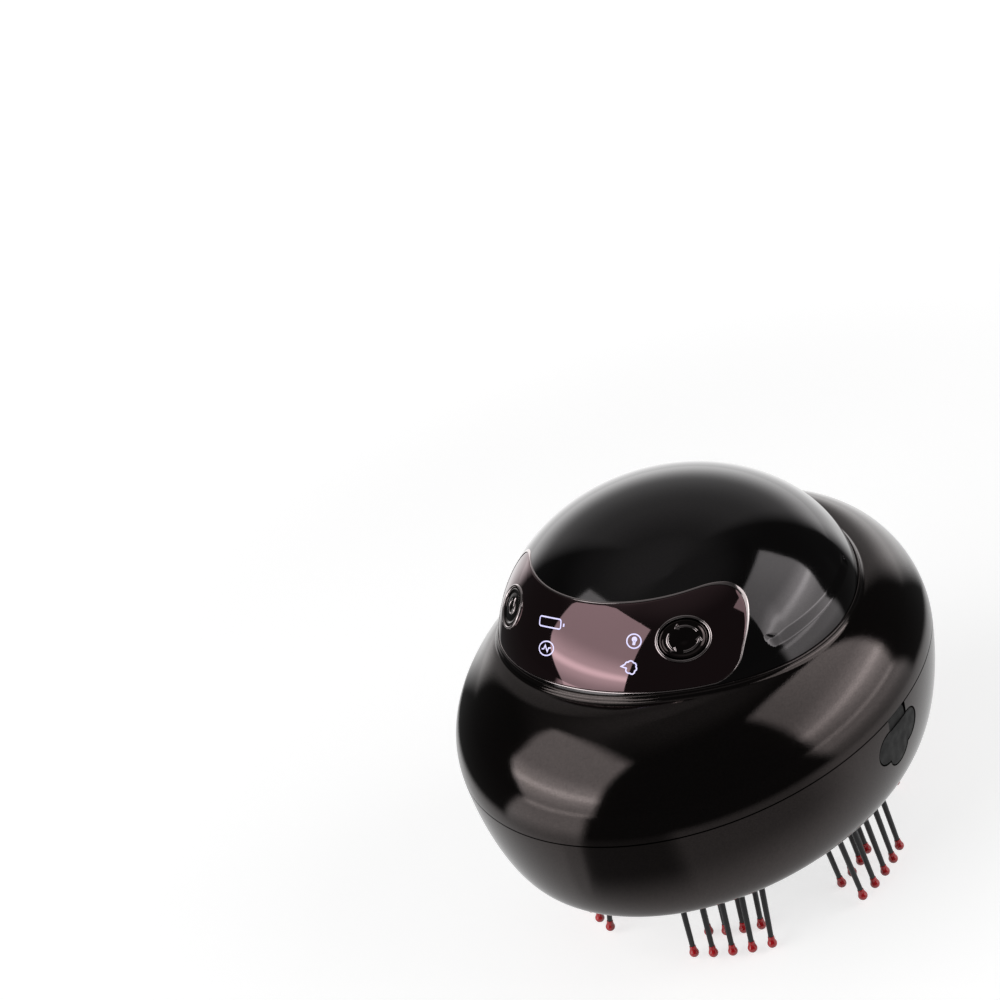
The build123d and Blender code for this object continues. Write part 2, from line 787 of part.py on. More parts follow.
def bristle_lines():
    """Foot and tip of each bristle of one pad, in the pad's own place."""
    def row(count, foot_radius, foot_pitch, tip_place, tip_pitch, lift):
        for index in range(count):
            step = index - (count - 1) / 2
            foot_x = step * foot_pitch
            tip_x = step * tip_pitch
            foot = Vector(foot_x, -sqrt(foot_radius ** 2 - foot_x ** 2), pad_face_z)
            yield foot, Vector(tip_x, -sqrt(tip_place ** 2 - tip_x ** 2), tip_radius + lift)
    outer = row(outer_count, outer_foot_radius, outer_foot_pitch, outer_tip_radius, outer_tip_pitch,
                outer_tip_lift)
    inner = row(inner_count, inner_foot_radius, inner_foot_pitch, inner_tip_radius, inner_tip_pitch, 0.0)
    return [*outer, *inner]


def socket_bottom(foot, tip):
    """Inner end of a bristle, sunk in its pad."""
    return foot + (foot - tip).normalized() * (bristle_socket - bristle_fit)


def make_tip(foot, tip):
    """Round head drawn out into a short neck, with a blind hole for the bristle."""
    axis = (foot - tip).normalized()
    neck = Pos(0, 0, tip_neck_length / 2) * Cone(tip_shoulder_radius, tip_neck_radius, tip_neck_length)
    hole = bar(tip, tip + axis * (tip_neck_length + tip_radius), bristle_radius + bristle_fit)
    return Pos(*tip) * Sphere(tip_radius) + Plane(origin=tip, z_dir=axis) * neck - hole


def make_comb_plate():
    floor = tube(comb_radius, comb_sleeve_radius, comb_floor_z, comb_floor_z + comb_thickness)
    rim = tube(comb_radius, comb_radius - comb_rim_width, comb_rim_z, comb_floor_z)
    groove = tube(comb_rim_groove_radius + comb_rim_groove, comb_rim_groove_radius, comb_rim_z,
                  comb_rim_z + comb_rim_groove)
    flange = tube(comb_flange_radius, comb_radius - comb_rim_width, floor_top_z, comb_top_z)
    sleeve = tube(comb_sleeve_outer, comb_sleeve_radius, comb_sleeve_z, comb_floor_z)
    step = tube(comb_sleeve_outer + comb_step_width, comb_sleeve_outer, comb_step_z, comb_floor_z)
    plate = floor + rim + flange + sleeve + step - groove
    lip_z = pad_face_z - pad_lip_proud
    seat_z = pad_face_z + pad_thickness
    for place in pad_places():
        boss = Pos(0, 0, lip_z) * extrude(pad_outline(pad_lip), comb_floor_z - lip_z)
        pocket = Pos(0, 0, lip_z) * extrude(pad_outline(pad_clearance), seat_z - lip_z)
        plate = plate + place * boss - place * pocket
    return plate


def make_comb():
    parts["comb_plate"] = make_comb_plate()
    lines = bristle_lines()
    pad = Pos(0, 0, pad_face_z) * extrude(pad_outline(0.0), pad_thickness)
    for foot, tip in lines:
        sunk = (tip - foot).normalized() * bristle_socket
        pad -= bar(foot - sunk, foot + sunk, bristle_radius + bristle_fit)
    bristles = group([bar(socket_bottom(foot, tip), tip, bristle_radius) for foot, tip in lines])
    tips = group([make_tip(foot, tip) for foot, tip in lines])
    for index, place in enumerate(pad_places(), start=1):
        parts[f"comb_pad_{index}"] = place * pad
        parts[f"bristles_{index}"] = place * bristles
        parts[f"bristle_tips_{index}"] = place * tips
    ring_inner = comb_flange_radius - retainer_ring_width
    parts["comb_retainer"] = tube(comb_flange_radius, ring_inner, comb_floor_z + comb_thickness, frame_z)


make_comb()


# ---------------------------------------------------------------- applicator
def tube_places():
    half = tube_pitch / 2
    return [Pos(x, y, 0) for x, y in ((-half, -half), (half, -half), (-half, half), (half, half))]


def make_applicator():
    inside = cup_radius - cup_wall
    cup = disc(cup_radius, cup_face_z, cup_rim_z)
    cup = chamfer(cup.edges().sort_by(Axis.Z)[0], cup_edge)
    cup -= disc(inside, cup_face_z + cup_wall, cup_rim_z)
    seal_path = socket_radius - seal_gap - seal_radius
    seal = Pos(0, 0, seal_z) * Torus(seal_path, seal_radius)
    groove_half = seal_radius + seal_groove_clearance
    cup -= tube(cup_radius, seal_path - groove_half, seal_z - groove_half, seal_z + groove_half)
    for place in tube_places():
        cup -= place * disc(tube_spigot_radius + tube_fit, cup_face_z, cup_face_z + cup_wall)
    lid = disc(lid_radius, cup_rim_z, cup_rim_z + lid_thickness)
    lid += disc(inside - lid_clearance, cup_rim_z - lid_plug_depth, cup_rim_z)
    tube_end = ball_z - retainer_top
    ball_room = Pos(0, 0, ball_z) * Sphere(ball_radius + ball_clearance)
    stem = disc(tube_radius, tube_end, cup_face_z)
    stem += disc(tube_radius + tube_collar, cup_face_z - tube_collar_height, cup_face_z)
    stem += disc(tube_spigot_radius, cup_face_z, cup_face_z + cup_wall)
    stem -= disc(tube_channel_radius, tube_end, cup_face_z + cup_wall)
    stem -= ball_room
    retainer = disc(tube_radius, ball_z - retainer_bottom, tube_end) - ball_room
    parts["applicator_cup"] = cup
    parts["applicator_lid"] = lid
    parts["cup_seal"] = seal
    parts["applicator_tubes"] = group([place * stem for place in tube_places()])
    parts["ball_retainers"] = group([place * retainer for place in tube_places()])
    for index, place in enumerate(tube_places(), start=1):
        parts[f"roller_ball_{index}"] = place * Pos(0, 0, ball_z) * Sphere(ball_radius)
    flange_radius = socket_outer_radius + socket_flange_width
    sleeve = disc(socket_outer_radius, socket_mouth_z, frame_z)
    sleeve += disc(flange_radius, frame_z - socket_flange_thickness, frame_z)
    parts["cup_socket"] = sleeve - disc(socket_radius, socket_mouth_z, socket_depth_z)


make_applicator()


# ---------------------------------------------------------------- inner frame, battery and boards
def board_posts():
    rows = (board_post_front_y, board_post_back_y)
    return [Pos(side * board_post_x, y, 0) for side in (-1, 1) for y in rows]


def make_frame():
    frame = disc(frame_radius, frame_z, frame_top_z)
    ear_arm = block((-frame_ear_radius, 0, frame_z), (frame_ear_radius, frame_ear_arm, frame_top_z))
    for place in ear_places():
        frame += place * (disc(frame_ear_radius, frame_z, frame_top_z) + ear_arm)
    for place in board_posts():
        frame += place * disc(board_post_radius, frame_z, main_board_z)
    for place in ear_places():
        frame -= place * disc(frame_screw_radius + frame_hole_clearance, frame_z, frame_top_z)
    for place in board_posts():
        pilot_radius = frame_screw_radius + pilot_clearance
        frame -= place * disc(pilot_radius, main_board_z - frame_screw_length, main_board_z)
    parts["inner_frame"] = frame
    board_top = main_board_z + main_board_thickness
    edge_x = board_post_x + main_board_margin
    board = block((-edge_x, board_post_front_y - main_board_margin, main_board_z),
                  (edge_x, board_post_back_y + main_board_margin, board_top))
    for place in board_posts():
        board -= place * disc(frame_screw_radius + frame_hole_clearance, main_board_z, board_top)
    middle_y = (board_post_front_y + board_post_back_y) / 2
    for side in (-1, 1):
        chip = Pos(0, 0, board_top) * extrude(Rectangle(chip_side, chip_side), chip_height)
        board += Pos(side * chip_side, middle_y, 0) * chip
    parts["main_board"] = board
    heads = [place * Pos(0, 0, frame_top_z) for place in ear_places()]
    heads += [place * Pos(0, 0, board_top) for place in board_posts()]
    parts["frame_screws"] = group([place * frame_screw for place in heads])


def make_battery():
    half_x = battery_length / 2
    half_y = battery_width / 2
    low = frame_top_z + tray_floor
    cell = block((-half_x, -half_y, low), (half_x, half_y, low + battery_height))
    cell = fillet(cell.edges().filter_by(Axis.X), battery_corner)
    room = tray_clearance
    tray = block((-half_x - room - tray_wall, -half_y - room - tray_wall, frame_top_z),
                 (half_x + room + tray_wall, half_y + room + tray_wall, frame_top_z + tray_height))
    tray -= block((-half_x - room, -half_y - room, low),
                  (half_x + room, half_y + room, low + battery_height))
    parts["battery"] = Pos(0, battery_y, 0) * cell
    parts["battery_tray"] = Pos(0, battery_y, 0) * tray


make_frame()
make_battery()


# ---------------------------------------------------------------- motor
def x_disc(radius, start_x, end_x):
    """Round bar along the motor's axis."""
    return Pos(0, motor_y, motor_axis_z) * along_x(Circle(radius), start_x, end_x)


def make_motor():
    front_x = motor_start_x + motor_length
    nose_x = front_x + motor_nose_length
    can = x_disc(motor_radius, motor_start_x, front_x) + x_disc(motor_nose_radius, front_x, nose_x)
    can -= x_disc(shaft_radius + shaft_clearance, front_x - shaft_inside, nose_x)
    shaft = x_disc(shaft_radius, front_x - shaft_inside + shaft_clearance, front_x + shaft_outside)
    weight_x = nose_x + weight_gap
    below = block((-reach, -reach, 0), (reach, reach, motor_axis_z))
    weight = x_disc(weight_radius, weight_x, weight_x + weight_length) & below
    weight += x_disc(weight_hub_radius, weight_x, weight_x + weight_length)
    weight -= x_disc(shaft_radius + weight_fit, weight_x, weight_x + weight_length)
    end_x = bracket_start_x + bracket_length
    bracket = block((bracket_start_x, motor_y - bracket_half_width, frame_top_z),
                    (end_x, motor_y + bracket_half_width, motor_axis_z + bracket_over_axis))
    bracket -= x_disc(motor_radius + bracket_fit, bracket_start_x, end_x)
    parts["motor_can"] = can
    parts["motor_shaft"] = shaft
    parts["eccentric_weight"] = weight
    parts["motor_bracket"] = bracket


make_motor()


# ---------------------------------------------------------------- charging port
def make_port():
    board_top = frame_top_z + port_board_thickness
    board = block((port_frame_x - port_board_length, -port_board_width / 2, frame_top_z),
                  (port_frame_x, port_board_width / 2, board_top))
    outer = Pos(0, port_z) * SlotOverall(port_width, port_height)
    inner = Pos(0, port_z) * SlotOverall(port_width - 2 * port_shell, port_height - 2 * port_shell)
    tongue = Pos(0, port_z) * Rectangle(port_tongue_width, port_tongue_height)
    back_x = port_frame_x - port_depth
    socket = along_x(outer, back_x, port_frame_x) - along_x(inner, back_x + port_shell, port_frame_x)
    socket += along_x(tongue, back_x, port_frame_x - port_tongue_gap)
    parts["charge_board"] = board
    parts["charging_socket"] = socket
    plate = along_x(port_outline(0.0), port_recess_x, reach) & lower_outer
    barrel_place = Pos(port_recess_x + port_hinge_radius, 0, port_hinge_z)
    barrel = barrel_place * Rot(90, 0, 0) * Cylinder(port_hinge_radius, port_strap_width)
    strap_half = port_strap_width / 2
    knuckle = 2 * port_hinge_radius
    above = block((port_recess_x + knuckle, -strap_half, port_hinge_z - knuckle),
                  (reach, strap_half, seam_z))
    plug_outline = SlotOverall(port_width - 2 * port_plug_gap, port_height - port_plug_gap)
    plug = along_x(Pos(0, port_z) * plug_outline, port_recess_x - port_plug_depth, port_recess_x)
    parts["port_cover"] = plate - above + barrel + plug
    parts["port_cover_anchor"] = anchor_form(0.0)


make_port()

# ---------------------------------------------------------------- one file for each node
os.makedirs("parts", exist_ok=True)
for name, shape in parts.items():
    export_step(shape, f"parts/{name}.step")
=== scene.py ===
# %% [markdown]
# # An electric scalp massager
# The real object is a palm-sized oval body in two glossy casings, with a domed top that carries a
# curved display, and a round rubber comb underneath. The imported model arrives as separate pieces, each
# already in its place, in metres. We load it first. Nothing that we dress it with may stand outside that
# box.

# %% Load the imported pieces
from math import atan2, ceil, cos, degrees, hypot, pi, radians, sin, sqrt, tan

import bmesh
import bpy
import numpy as np
from mathutils import Matrix, Quaternion, Vector


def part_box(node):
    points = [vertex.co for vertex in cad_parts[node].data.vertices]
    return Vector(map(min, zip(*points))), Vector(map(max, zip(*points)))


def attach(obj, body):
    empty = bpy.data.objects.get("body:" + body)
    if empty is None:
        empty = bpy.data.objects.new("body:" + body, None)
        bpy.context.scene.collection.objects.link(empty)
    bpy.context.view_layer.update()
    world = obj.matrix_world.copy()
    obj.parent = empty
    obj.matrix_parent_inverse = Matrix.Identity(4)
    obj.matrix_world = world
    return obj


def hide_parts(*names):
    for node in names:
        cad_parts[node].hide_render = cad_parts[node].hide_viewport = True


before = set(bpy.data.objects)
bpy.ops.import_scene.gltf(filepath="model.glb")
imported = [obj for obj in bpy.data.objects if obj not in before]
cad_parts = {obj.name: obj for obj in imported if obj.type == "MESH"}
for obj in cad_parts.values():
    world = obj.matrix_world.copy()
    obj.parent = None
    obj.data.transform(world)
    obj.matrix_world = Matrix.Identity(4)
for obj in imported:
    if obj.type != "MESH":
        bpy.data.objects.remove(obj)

scene = bpy.context.scene
MM = 0.001
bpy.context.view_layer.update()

# %% [markdown]
# ## The sizes that everything follows
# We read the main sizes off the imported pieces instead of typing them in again: the widest oval is the
# lower casing's box, the dome's radius is half the dome's box, and so on. Only what a box can't tell,
# such as how round a profile is, is written here as a number in millimetres.

# %% Sizes of the body
casing_low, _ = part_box("lower_casing")
_, upper_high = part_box("upper_casing")
dome_low, dome_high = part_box("dome_shell")
comb_low, comb_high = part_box("comb_plate")

ring_z = casing_low.z
seam_x, seam_y = -casing_low.x, -casing_low.y
shoulder_z = upper_high.z
dome_radius = dome_high.x
dome_foot_z = dome_low.z
comb_radius, comb_fit = 39.5 * MM, 0.2 * MM
hole_radius = comb_radius + comb_fit
ring_x, ring_y = seam_x - 6.0 * MM, seam_y - 5.3 * MM
seam_z = ring_z + 22.3 * MM
shoulder_x, shoulder_y = seam_x - 17.5 * MM, seam_y - 14.8 * MM
lower_roundness, upper_roundness = 1.73, 1.92
casing_wall = 2.2 * MM
floor_z = ring_z + 2.0 * MM
dome_centre_z = shoulder_z - 3.55 * MM
dome_rise = dome_high.z - dome_centre_z
dome_wall = 2.6 * MM
neck_radius = dome_radius + 0.15 * MM
print("widest oval, mm:", round(2 * seam_x / MM, 1), "by", round(2 * seam_y / MM, 1))
print("dome radius and top, mm:", round(dome_radius / MM, 2), round(dome_high.z / MM, 2))
print("comb from and to, mm:", round(comb_low.z / MM, 2), round(comb_high.z / MM, 2))

# %% [markdown]
# ## The viewpoint
# The object is looked at from the front right and from above, with the camera tipped a little
# clockwise. Perspective is strong because the camera stands close. The small lens shift puts the
# object in the lower right of the frame without bending its shape, which turning the camera would do.

# %% Camera
camera_place = Vector((207.5, -233.8, 254.3)) * MM
aim_place = Vector((0.0, 0.0, 64.0)) * MM
camera_roll = radians(-14.85)
frame_pixels = 1000
aim_pixel = (677.4, 600.1)

camera_data = bpy.data.cameras.new("camera")
camera = bpy.data.objects.new("camera", camera_data)
scene.collection.objects.link(camera)
camera_data.lens, camera_data.sensor_width = 65.2, 36.0
camera_data.shift_x = (frame_pixels / 2 - aim_pixel[0]) / frame_pixels
camera_data.shift_y = (aim_pixel[1] - frame_pixels / 2) / frame_pixels
camera.location = camera_place
camera.rotation_mode = "QUATERNION"
upright = (aim_place - camera_place).to_track_quat("-Z", "Y")
camera.rotation_quaternion = upright @ Quaternion((0, 0, 1), camera_roll)
scene.camera = camera
scene.view_settings.view_transform = "Standard"
print("camera distance, mm:", round((camera_place - aim_place).length / MM))

# %% [markdown]
# ## Node helpers
# Materials and geometry here are node trees. A few small helpers keep the cells short: one adds a node
# and sets its inputs, one makes a fresh material with its output and shader ready to wire, and one
# mixes two shades of a colour.


# %% Helpers for node trees
def add_node(tree, kind, inputs=None, **settings):
    node = tree.nodes.new(kind)
    for name, value in settings.items():
        setattr(node, name, value)
    for name, value in (inputs or {}).items():
        if isinstance(value, bpy.types.NodeSocket):
            tree.links.new(value, node.inputs[name])
        else:
            node.inputs[name].default_value = value
    return node


def new_material(name):
    material = bpy.data.materials.new(name)
    material.use_nodes = True
    tree = material.node_tree
    tree.nodes.clear()
    shader = add_node(tree, "ShaderNodeBsdfPrincipled")
    out = add_node(tree, "ShaderNodeOutputMaterial")
    tree.links.new(shader.outputs[0], out.inputs["Surface"])
    return material, tree, shader


def add_math(tree, operation, *values):
    return add_node(tree, "ShaderNodeMath", dict(enumerate(values)), operation=operation).outputs[0]


def rgba(red, green, blue):
    return red, green, blue, 1.0


def add_shades(tree, factor, dark, light):
    """Colour between two shades of it."""
    mix = add_node(tree, "ShaderNodeMix", {"Factor": factor}, data_type="RGBA")
    mix.inputs["A"].default_value = rgba(*dark)
    mix.inputs["B"].default_value = rgba(*light)
    return mix.outputs["Result"]


# %% [markdown]
# ## A finish that varies
# No moulded or turned surface is one flat colour. This function gives a finish three things at the
# scale of the real material: a colour that wanders between two shades, a roughness that wanders with
# it, and a fine grain in the relief. All read Object coordinates, so the grain stays on the piece.

# %% General finish
noise_low, noise_high = 0.3, 0.7
roughness_wander = 0.15
coat_roughness = 0.04


def add_roughness(tree, noise, middle):
    """A roughness that wanders about its middle as a noise does."""
    return add_node(tree, "ShaderNodeMapRange", {
        "Value": noise, "From Min": noise_low, "From Max": noise_high,
        "To Min": middle * (1 - roughness_wander), "To Max": middle * (1 + roughness_wander)}).outputs[0]


def make_finish(name, dark, light, roughness, patch, grain, relief, metallic=0.0, coat=0.0):
    """Colours dark to light over patches of one size; grain is the relief's size, relief its height."""
    material, tree, shader = new_material(name)
    place = add_node(tree, "ShaderNodeTexCoord").outputs["Object"]
    patches = add_node(tree, "ShaderNodeTexNoise", {"Vector": place, "Scale": 1 / patch, "Detail": 3.0})
    grains = add_node(tree, "ShaderNodeTexNoise", {"Vector": place, "Scale": 1 / grain, "Detail": 2.0})
    bump = add_node(tree, "ShaderNodeBump", {"Height": grains.outputs["Fac"], "Distance": relief})
    colour = add_shades(tree, patches.outputs["Fac"], dark, light)
    tree.links.new(colour, shader.inputs["Base Color"])
    tree.links.new(add_roughness(tree, patches.outputs["Fac"], roughness), shader.inputs["Roughness"])
    tree.links.new(bump.outputs[0], shader.inputs["Normal"])
    shader.inputs["Metallic"].default_value = metallic
    shader.inputs["Coat Weight"].default_value = coat
    shader.inputs["Coat Roughness"].default_value = coat_roughness
    return material


# %% [markdown]
# ## The lacquered body
# The casings are near-black brown plastic with a fine metallic fleck in the lacquer. Such a surface has
# almost no colour of its own: it shows a dim, brown-tinted mirror image of the room, slightly blurred,
# and turns into a bright mirror only where it is seen edge-on. A metal with a very dark brown colour
# does just that. Cells a sixth of a millimetre wide each take a slightly different tint and tilt,
# which gives the grain at the edge of every reflection.

# %% Lacquers of the casings and of the dome
fleck_size, fleck_height, cloud_size = 0.16 * MM, 0.02 * MM, 14 * MM


def make_lacquer(name, dark, light, roughness, tilt):
    material, tree, shader = new_material(name)
    place = add_node(tree, "ShaderNodeTexCoord").outputs["Object"]
    flecks = add_node(tree, "ShaderNodeTexVoronoi", {"Vector": place, "Scale": 1 / fleck_size})
    clouds = add_node(tree, "ShaderNodeTexNoise", {
        "Vector": place, "Scale": 1 / cloud_size, "Detail": 2.0})
    relief = add_node(tree, "ShaderNodeBump", {
        "Height": flecks.outputs["Distance"], "Strength": tilt, "Distance": fleck_height})
    colour = add_shades(tree, flecks.outputs["Color"], dark, light)
    tree.links.new(colour, shader.inputs["Base Color"])
    tree.links.new(add_roughness(tree, clouds.outputs["Fac"], roughness), shader.inputs["Roughness"])
    tree.links.new(relief.outputs[0], shader.inputs["Normal"])
    shader.inputs["Metallic"].default_value = 1.0
    return material


lacquer = make_lacquer("brown_black_lacquer", (0.043, 0.037, 0.036), (0.068, 0.058, 0.056),
                       roughness=0.075, tilt=0.17)
dome_lacquer = make_lacquer("black_dome_lacquer", (0.053, 0.050, 0.051), (0.064, 0.060, 0.061),
                            roughness=0.075, tilt=0.06)

# %% [markdown]
# ## The other finishes
# Smoked display glass, smoked chrome, soft black rubber, hard satin plastic for pads and bristles,
# glossy red for the tips, grained charcoal for the cup, polished steel for the balls. The inner pieces
# get the plain finishes of their trade: green board, silver pouch, pressed steel. The numbers after the
# two shades are the roughness and the sizes of patch, grain and relief.

# %% All other finishes
smoked_glass = make_finish("smoked_glass", (0.120, 0.076, 0.082), (0.140, 0.090, 0.097),
                           0.035, 20 * MM, 3 * MM, 0.0003 * MM, metallic=1.0)
button_black = make_finish("button_black", (0.050, 0.040, 0.039), (0.075, 0.061, 0.060),
                           0.09, 4 * MM, 0.3 * MM, 0.0006 * MM, metallic=1.0)
smoked_chrome = make_finish("smoked_chrome", (0.40, 0.35, 0.35), (0.52, 0.46, 0.46),
                            0.10, 3 * MM, 0.2 * MM, 0.0006 * MM, metallic=1.0)
comb_rubber = make_finish("comb_rubber", (0.006, 0.006, 0.0065), (0.012, 0.012, 0.013),
                          0.36, 5 * MM, 0.25 * MM, 0.006 * MM)
pad_plastic = make_finish("pad_plastic", (0.012, 0.012, 0.013), (0.022, 0.022, 0.023),
                          0.32, 4 * MM, 0.2 * MM, 0.005 * MM)
bristle_nylon = make_finish("bristle_nylon", (0.006, 0.006, 0.007), (0.014, 0.014, 0.015),
                            0.35, 2 * MM, 0.15 * MM, 0.003 * MM)
tip_red = make_finish("tip_red", (0.50, 0.006, 0.012), (0.66, 0.014, 0.022),
                      0.22, 1.2 * MM, 0.2 * MM, 0.002 * MM, coat=0.6)
cup_charcoal = make_finish("cup_charcoal", (0.026, 0.026, 0.027), (0.046, 0.046, 0.048),
                           0.48, 3 * MM, 0.16 * MM, 0.012 * MM)
tube_black = make_finish("tube_black", (0.012, 0.012, 0.012), (0.024, 0.024, 0.025),
                         0.34, 3 * MM, 0.10 * MM, 0.004 * MM)
polished_steel = make_finish("polished_steel", (0.72, 0.72, 0.73), (0.84, 0.84, 0.84),
                             0.06, 2 * MM, 0.3 * MM, 0.0004 * MM, metallic=1.0)
port_rubber = make_finish("port_rubber", (0.006, 0.006, 0.006), (0.010, 0.010, 0.010),
                          0.62, 2 * MM, 0.12 * MM, 0.006 * MM)
port_rubber.node_tree.nodes["Principled BSDF"].inputs["Specular IOR Level"].default_value = 0.3
cover_grey = make_finish("cover_grey", (0.070, 0.066, 0.072), (0.100, 0.095, 0.103),
                         0.55, 2 * MM, 0.12 * MM, 0.006 * MM)
rim_black = make_finish("rim_black", (0.008, 0.007, 0.007), (0.014, 0.012, 0.012),
                        0.30, 2 * MM, 0.2 * MM, 0.002 * MM)
inner_plastic = make_finish("inner_plastic", (0.060, 0.060, 0.062), (0.095, 0.095, 0.098),
                            0.45, 8 * MM, 0.3 * MM, 0.008 * MM)
seal_rubber = make_finish("seal_rubber", (0.014, 0.014, 0.014), (0.026, 0.026, 0.026),
                          0.55, 2 * MM, 0.2 * MM, 0.006 * MM)
foil_pouch = make_finish("foil_pouch", (0.42, 0.43, 0.45), (0.60, 0.61, 0.64),
                         0.35, 7 * MM, 0.5 * MM, 0.02 * MM, metallic=0.7)
board_green = make_finish("board_green", (0.010, 0.080, 0.035), (0.022, 0.150, 0.065),
                          0.35, 1.5 * MM, 0.4 * MM, 0.015 * MM, coat=0.3)
pressed_steel = make_finish("pressed_steel", (0.42, 0.42, 0.43), (0.58, 0.58, 0.59),
                            0.30, 4 * MM, 0.25 * MM, 0.005 * MM, metallic=1.0)
heavy_metal = make_finish("heavy_metal", (0.24, 0.24, 0.25), (0.36, 0.36, 0.37),
                          0.45, 2 * MM, 0.2 * MM, 0.01 * MM, metallic=1.0)
switch_black = make_finish("switch_black", (0.018, 0.018, 0.019), (0.034, 0.034, 0.036),
                           0.40, 2 * MM, 0.2 * MM, 0.004 * MM)
lamp_clear = make_finish("lamp_clear", (0.70, 0.66, 0.52), (0.84, 0.80, 0.66),
                         0.20, 1 * MM, 0.2 * MM, 0.002 * MM, coat=0.5)
print("finishes:", len(bpy.data.materials))

# %% [markdown]
# ## Mesh helpers
# Most big pieces here are rings of points joined into a skin: a list of rings that runs round a wall
# and comes back to its start makes a closed body with a hole through it, and a list that doesn't come
# back is closed at each end by a flat face or a pole. Every finished piece gets its finish, a body to
# ride on and the imported pieces that it stands for.

# %% Helpers for meshes
merge_distance = 0.0005 * MM
flat_ends = ("flat", "flat")


def new_piece(name, points, faces):
    mesh = bpy.data.meshes.new(name)
    mesh.from_pydata([tuple(p) for p in points], [], faces)
    mesh.update()
    piece = bpy.data.objects.new(name, mesh)
    scene.collection.objects.link(piece)
    return piece


def full_turn(steps):
    return [2 * pi * i / steps for i in range(steps)]


def ring_skin(name, rings, ends=None):
    """Joins rings of equal length in a loop, or closes a run of them with two ends, "flat" or a pole."""
    count, points = len(rings[0]), [point for ring in rings for point in ring]
    faces = []
    for row in range(len(rings) - 1 if ends else len(rings)):
        low, high = row * count, (row + 1) % len(rings) * count
        for column in range(count):
            following = (column + 1) % count
            faces.append((low + column, low + following, high + following, high + column))
    for start, end in zip((0, len(points) - count), ends or ()):
        if end == "flat":
            faces.append(tuple(range(start, start + count)))
        else:
            faces += [(start + i, start + (i + 1) % count, len(points)) for i in range(count)]
            points.append(end)
    piece = new_piece(name, points, faces)
    point_outwards(piece)
    return piece


def point_outwards(piece):
    """Merges doubles and turns every face outwards."""
    solid = bmesh.new()
    solid.from_mesh(piece.data)
    bmesh.ops.remove_doubles(solid, verts=solid.verts, dist=merge_distance)
    bmesh.ops.recalc_face_normals(solid, faces=solid.faces)
    solid.to_mesh(piece.data)
    solid.free()


def shade(piece, crease=35):
    piece.data.shade_smooth()
    piece.data.set_sharp_from_angle(angle=radians(crease))


# %% [markdown]
# ### Cutting, joining and handing over
# A Boolean modifier cuts one solid out of another. The result is kept as a plain mesh at once, so that
# no later change of the tool can reach it. Pieces that never touch are joined by listing their points
# one after the other.


# %% Helpers for finished pieces
def bake(piece):
    """Replaces the piece's mesh by the result of its modifiers."""
    graph = bpy.context.evaluated_depsgraph_get()
    graph.update()
    result = bpy.data.meshes.new_from_object(piece.evaluated_get(graph))
    piece.modifiers.clear()
    piece.data = result


def carve(piece, tool):
    """Cuts the tool out of the piece and deletes the tool."""
    modifier = piece.modifiers.new("carve", "BOOLEAN")
    modifier.operation, modifier.solver, modifier.object = "DIFFERENCE", "EXACT", tool
    bake(piece)
    bpy.data.objects.remove(tool)


def join(name, pieces):
    """One piece from several that never touch."""
    points, faces = [], []
    for piece in pieces:
        offset = len(points)
        points += [vertex.co.copy() for vertex in piece.data.vertices]
        faces += [tuple(offset + index for index in face.vertices) for face in piece.data.polygons]
        bpy.data.objects.remove(piece)
    return new_piece(name, points, faces)


def settle(piece, material, body, nodes=()):
    piece.data.materials.clear()
    piece.data.materials.append(material)
    if nodes:
        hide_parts(*nodes)
    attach(piece, body)
    print(piece.name, "faces:", len(piece.data.polygons))


# %% [markdown]
# ## Normals from the formula
# A cut through a curved, glossy wall leaves long thin faces beside the cut, and their averaged normals
# dent the reflection. The wall's true normal is known, though: it is the slope of the formula that the
# wall follows. So after cutting we hand the mesh those normals wherever a corner lies on the wall.


# %% Exact normals
smallest_slope, facing = 1e-12, 0.9


def point_array(mesh):
    points = np.empty(len(mesh.vertices) * 3)
    mesh.vertices.foreach_get("co", points)
    return points.reshape(-1, 3)


def exact_normals(piece, outside, tolerance=0.004 * MM, step=0.01 * MM):
    """outside(points) is the distance outside the wall, as an array."""
    mesh, points = piece.data, point_array(piece.data)
    slopes = np.stack([
        outside(points + step * axis) - outside(points - step * axis) for axis in np.eye(3)], axis=1)
    slopes /= np.maximum(np.linalg.norm(slopes, axis=1, keepdims=True), smallest_slope)
    on_wall = np.abs(outside(points)) < tolerance
    normals = [(0.0, 0.0, 0.0)] * len(mesh.loops)
    for face in mesh.polygons:
        corners = [mesh.loops[index].vertex_index for index in face.loop_indices]
        if all(on_wall[corner] for corner in corners):
            middle = slopes[corners].mean(axis=0)
            if np.dot(middle, face.normal) > facing:
                for index, corner in zip(face.loop_indices, corners):
                    normals[index] = tuple(slopes[corner])
    mesh.normals_split_custom_set(normals)
    print(piece.name, "exact corners:", sum(normal != (0.0, 0.0, 0.0) for normal in normals))


# %% [markdown]
# ## The lower casing
# The side of the real casing is a soft curve between a circle and a straight line. A superellipse
# draws it: the exponent says how full the curve is. Each ring of points is an ellipse whose half sizes
# follow that curve, and the rings have 288 points, enough for a clean reflection on a hand-sized oval.


# %% Rings of the casings
columns = 288
angles = full_turn(columns)


def oval_reach(half_x, half_y, angle):
    """Distance from the axis to an ellipse in one direction; 0 is the front."""
    return 1 / np.sqrt((np.sin(angle) / half_x) ** 2 + (np.cos(angle) / half_y) ** 2)


def oval_ring(half_x, half_y, z):
    reaches = [oval_reach(half_x, half_y, angle) for angle in angles]
    return [Vector((r * sin(a), -r * cos(a), z)) for r, a in zip(reaches, angles)]


def round_ring(radius, z):
    return oval_ring(radius, radius, z)


def seam_ring(inset, z):
    """The oval of the parting line, drawn in by an inset."""
    return oval_ring(seam_x - inset, seam_y - inset, z)


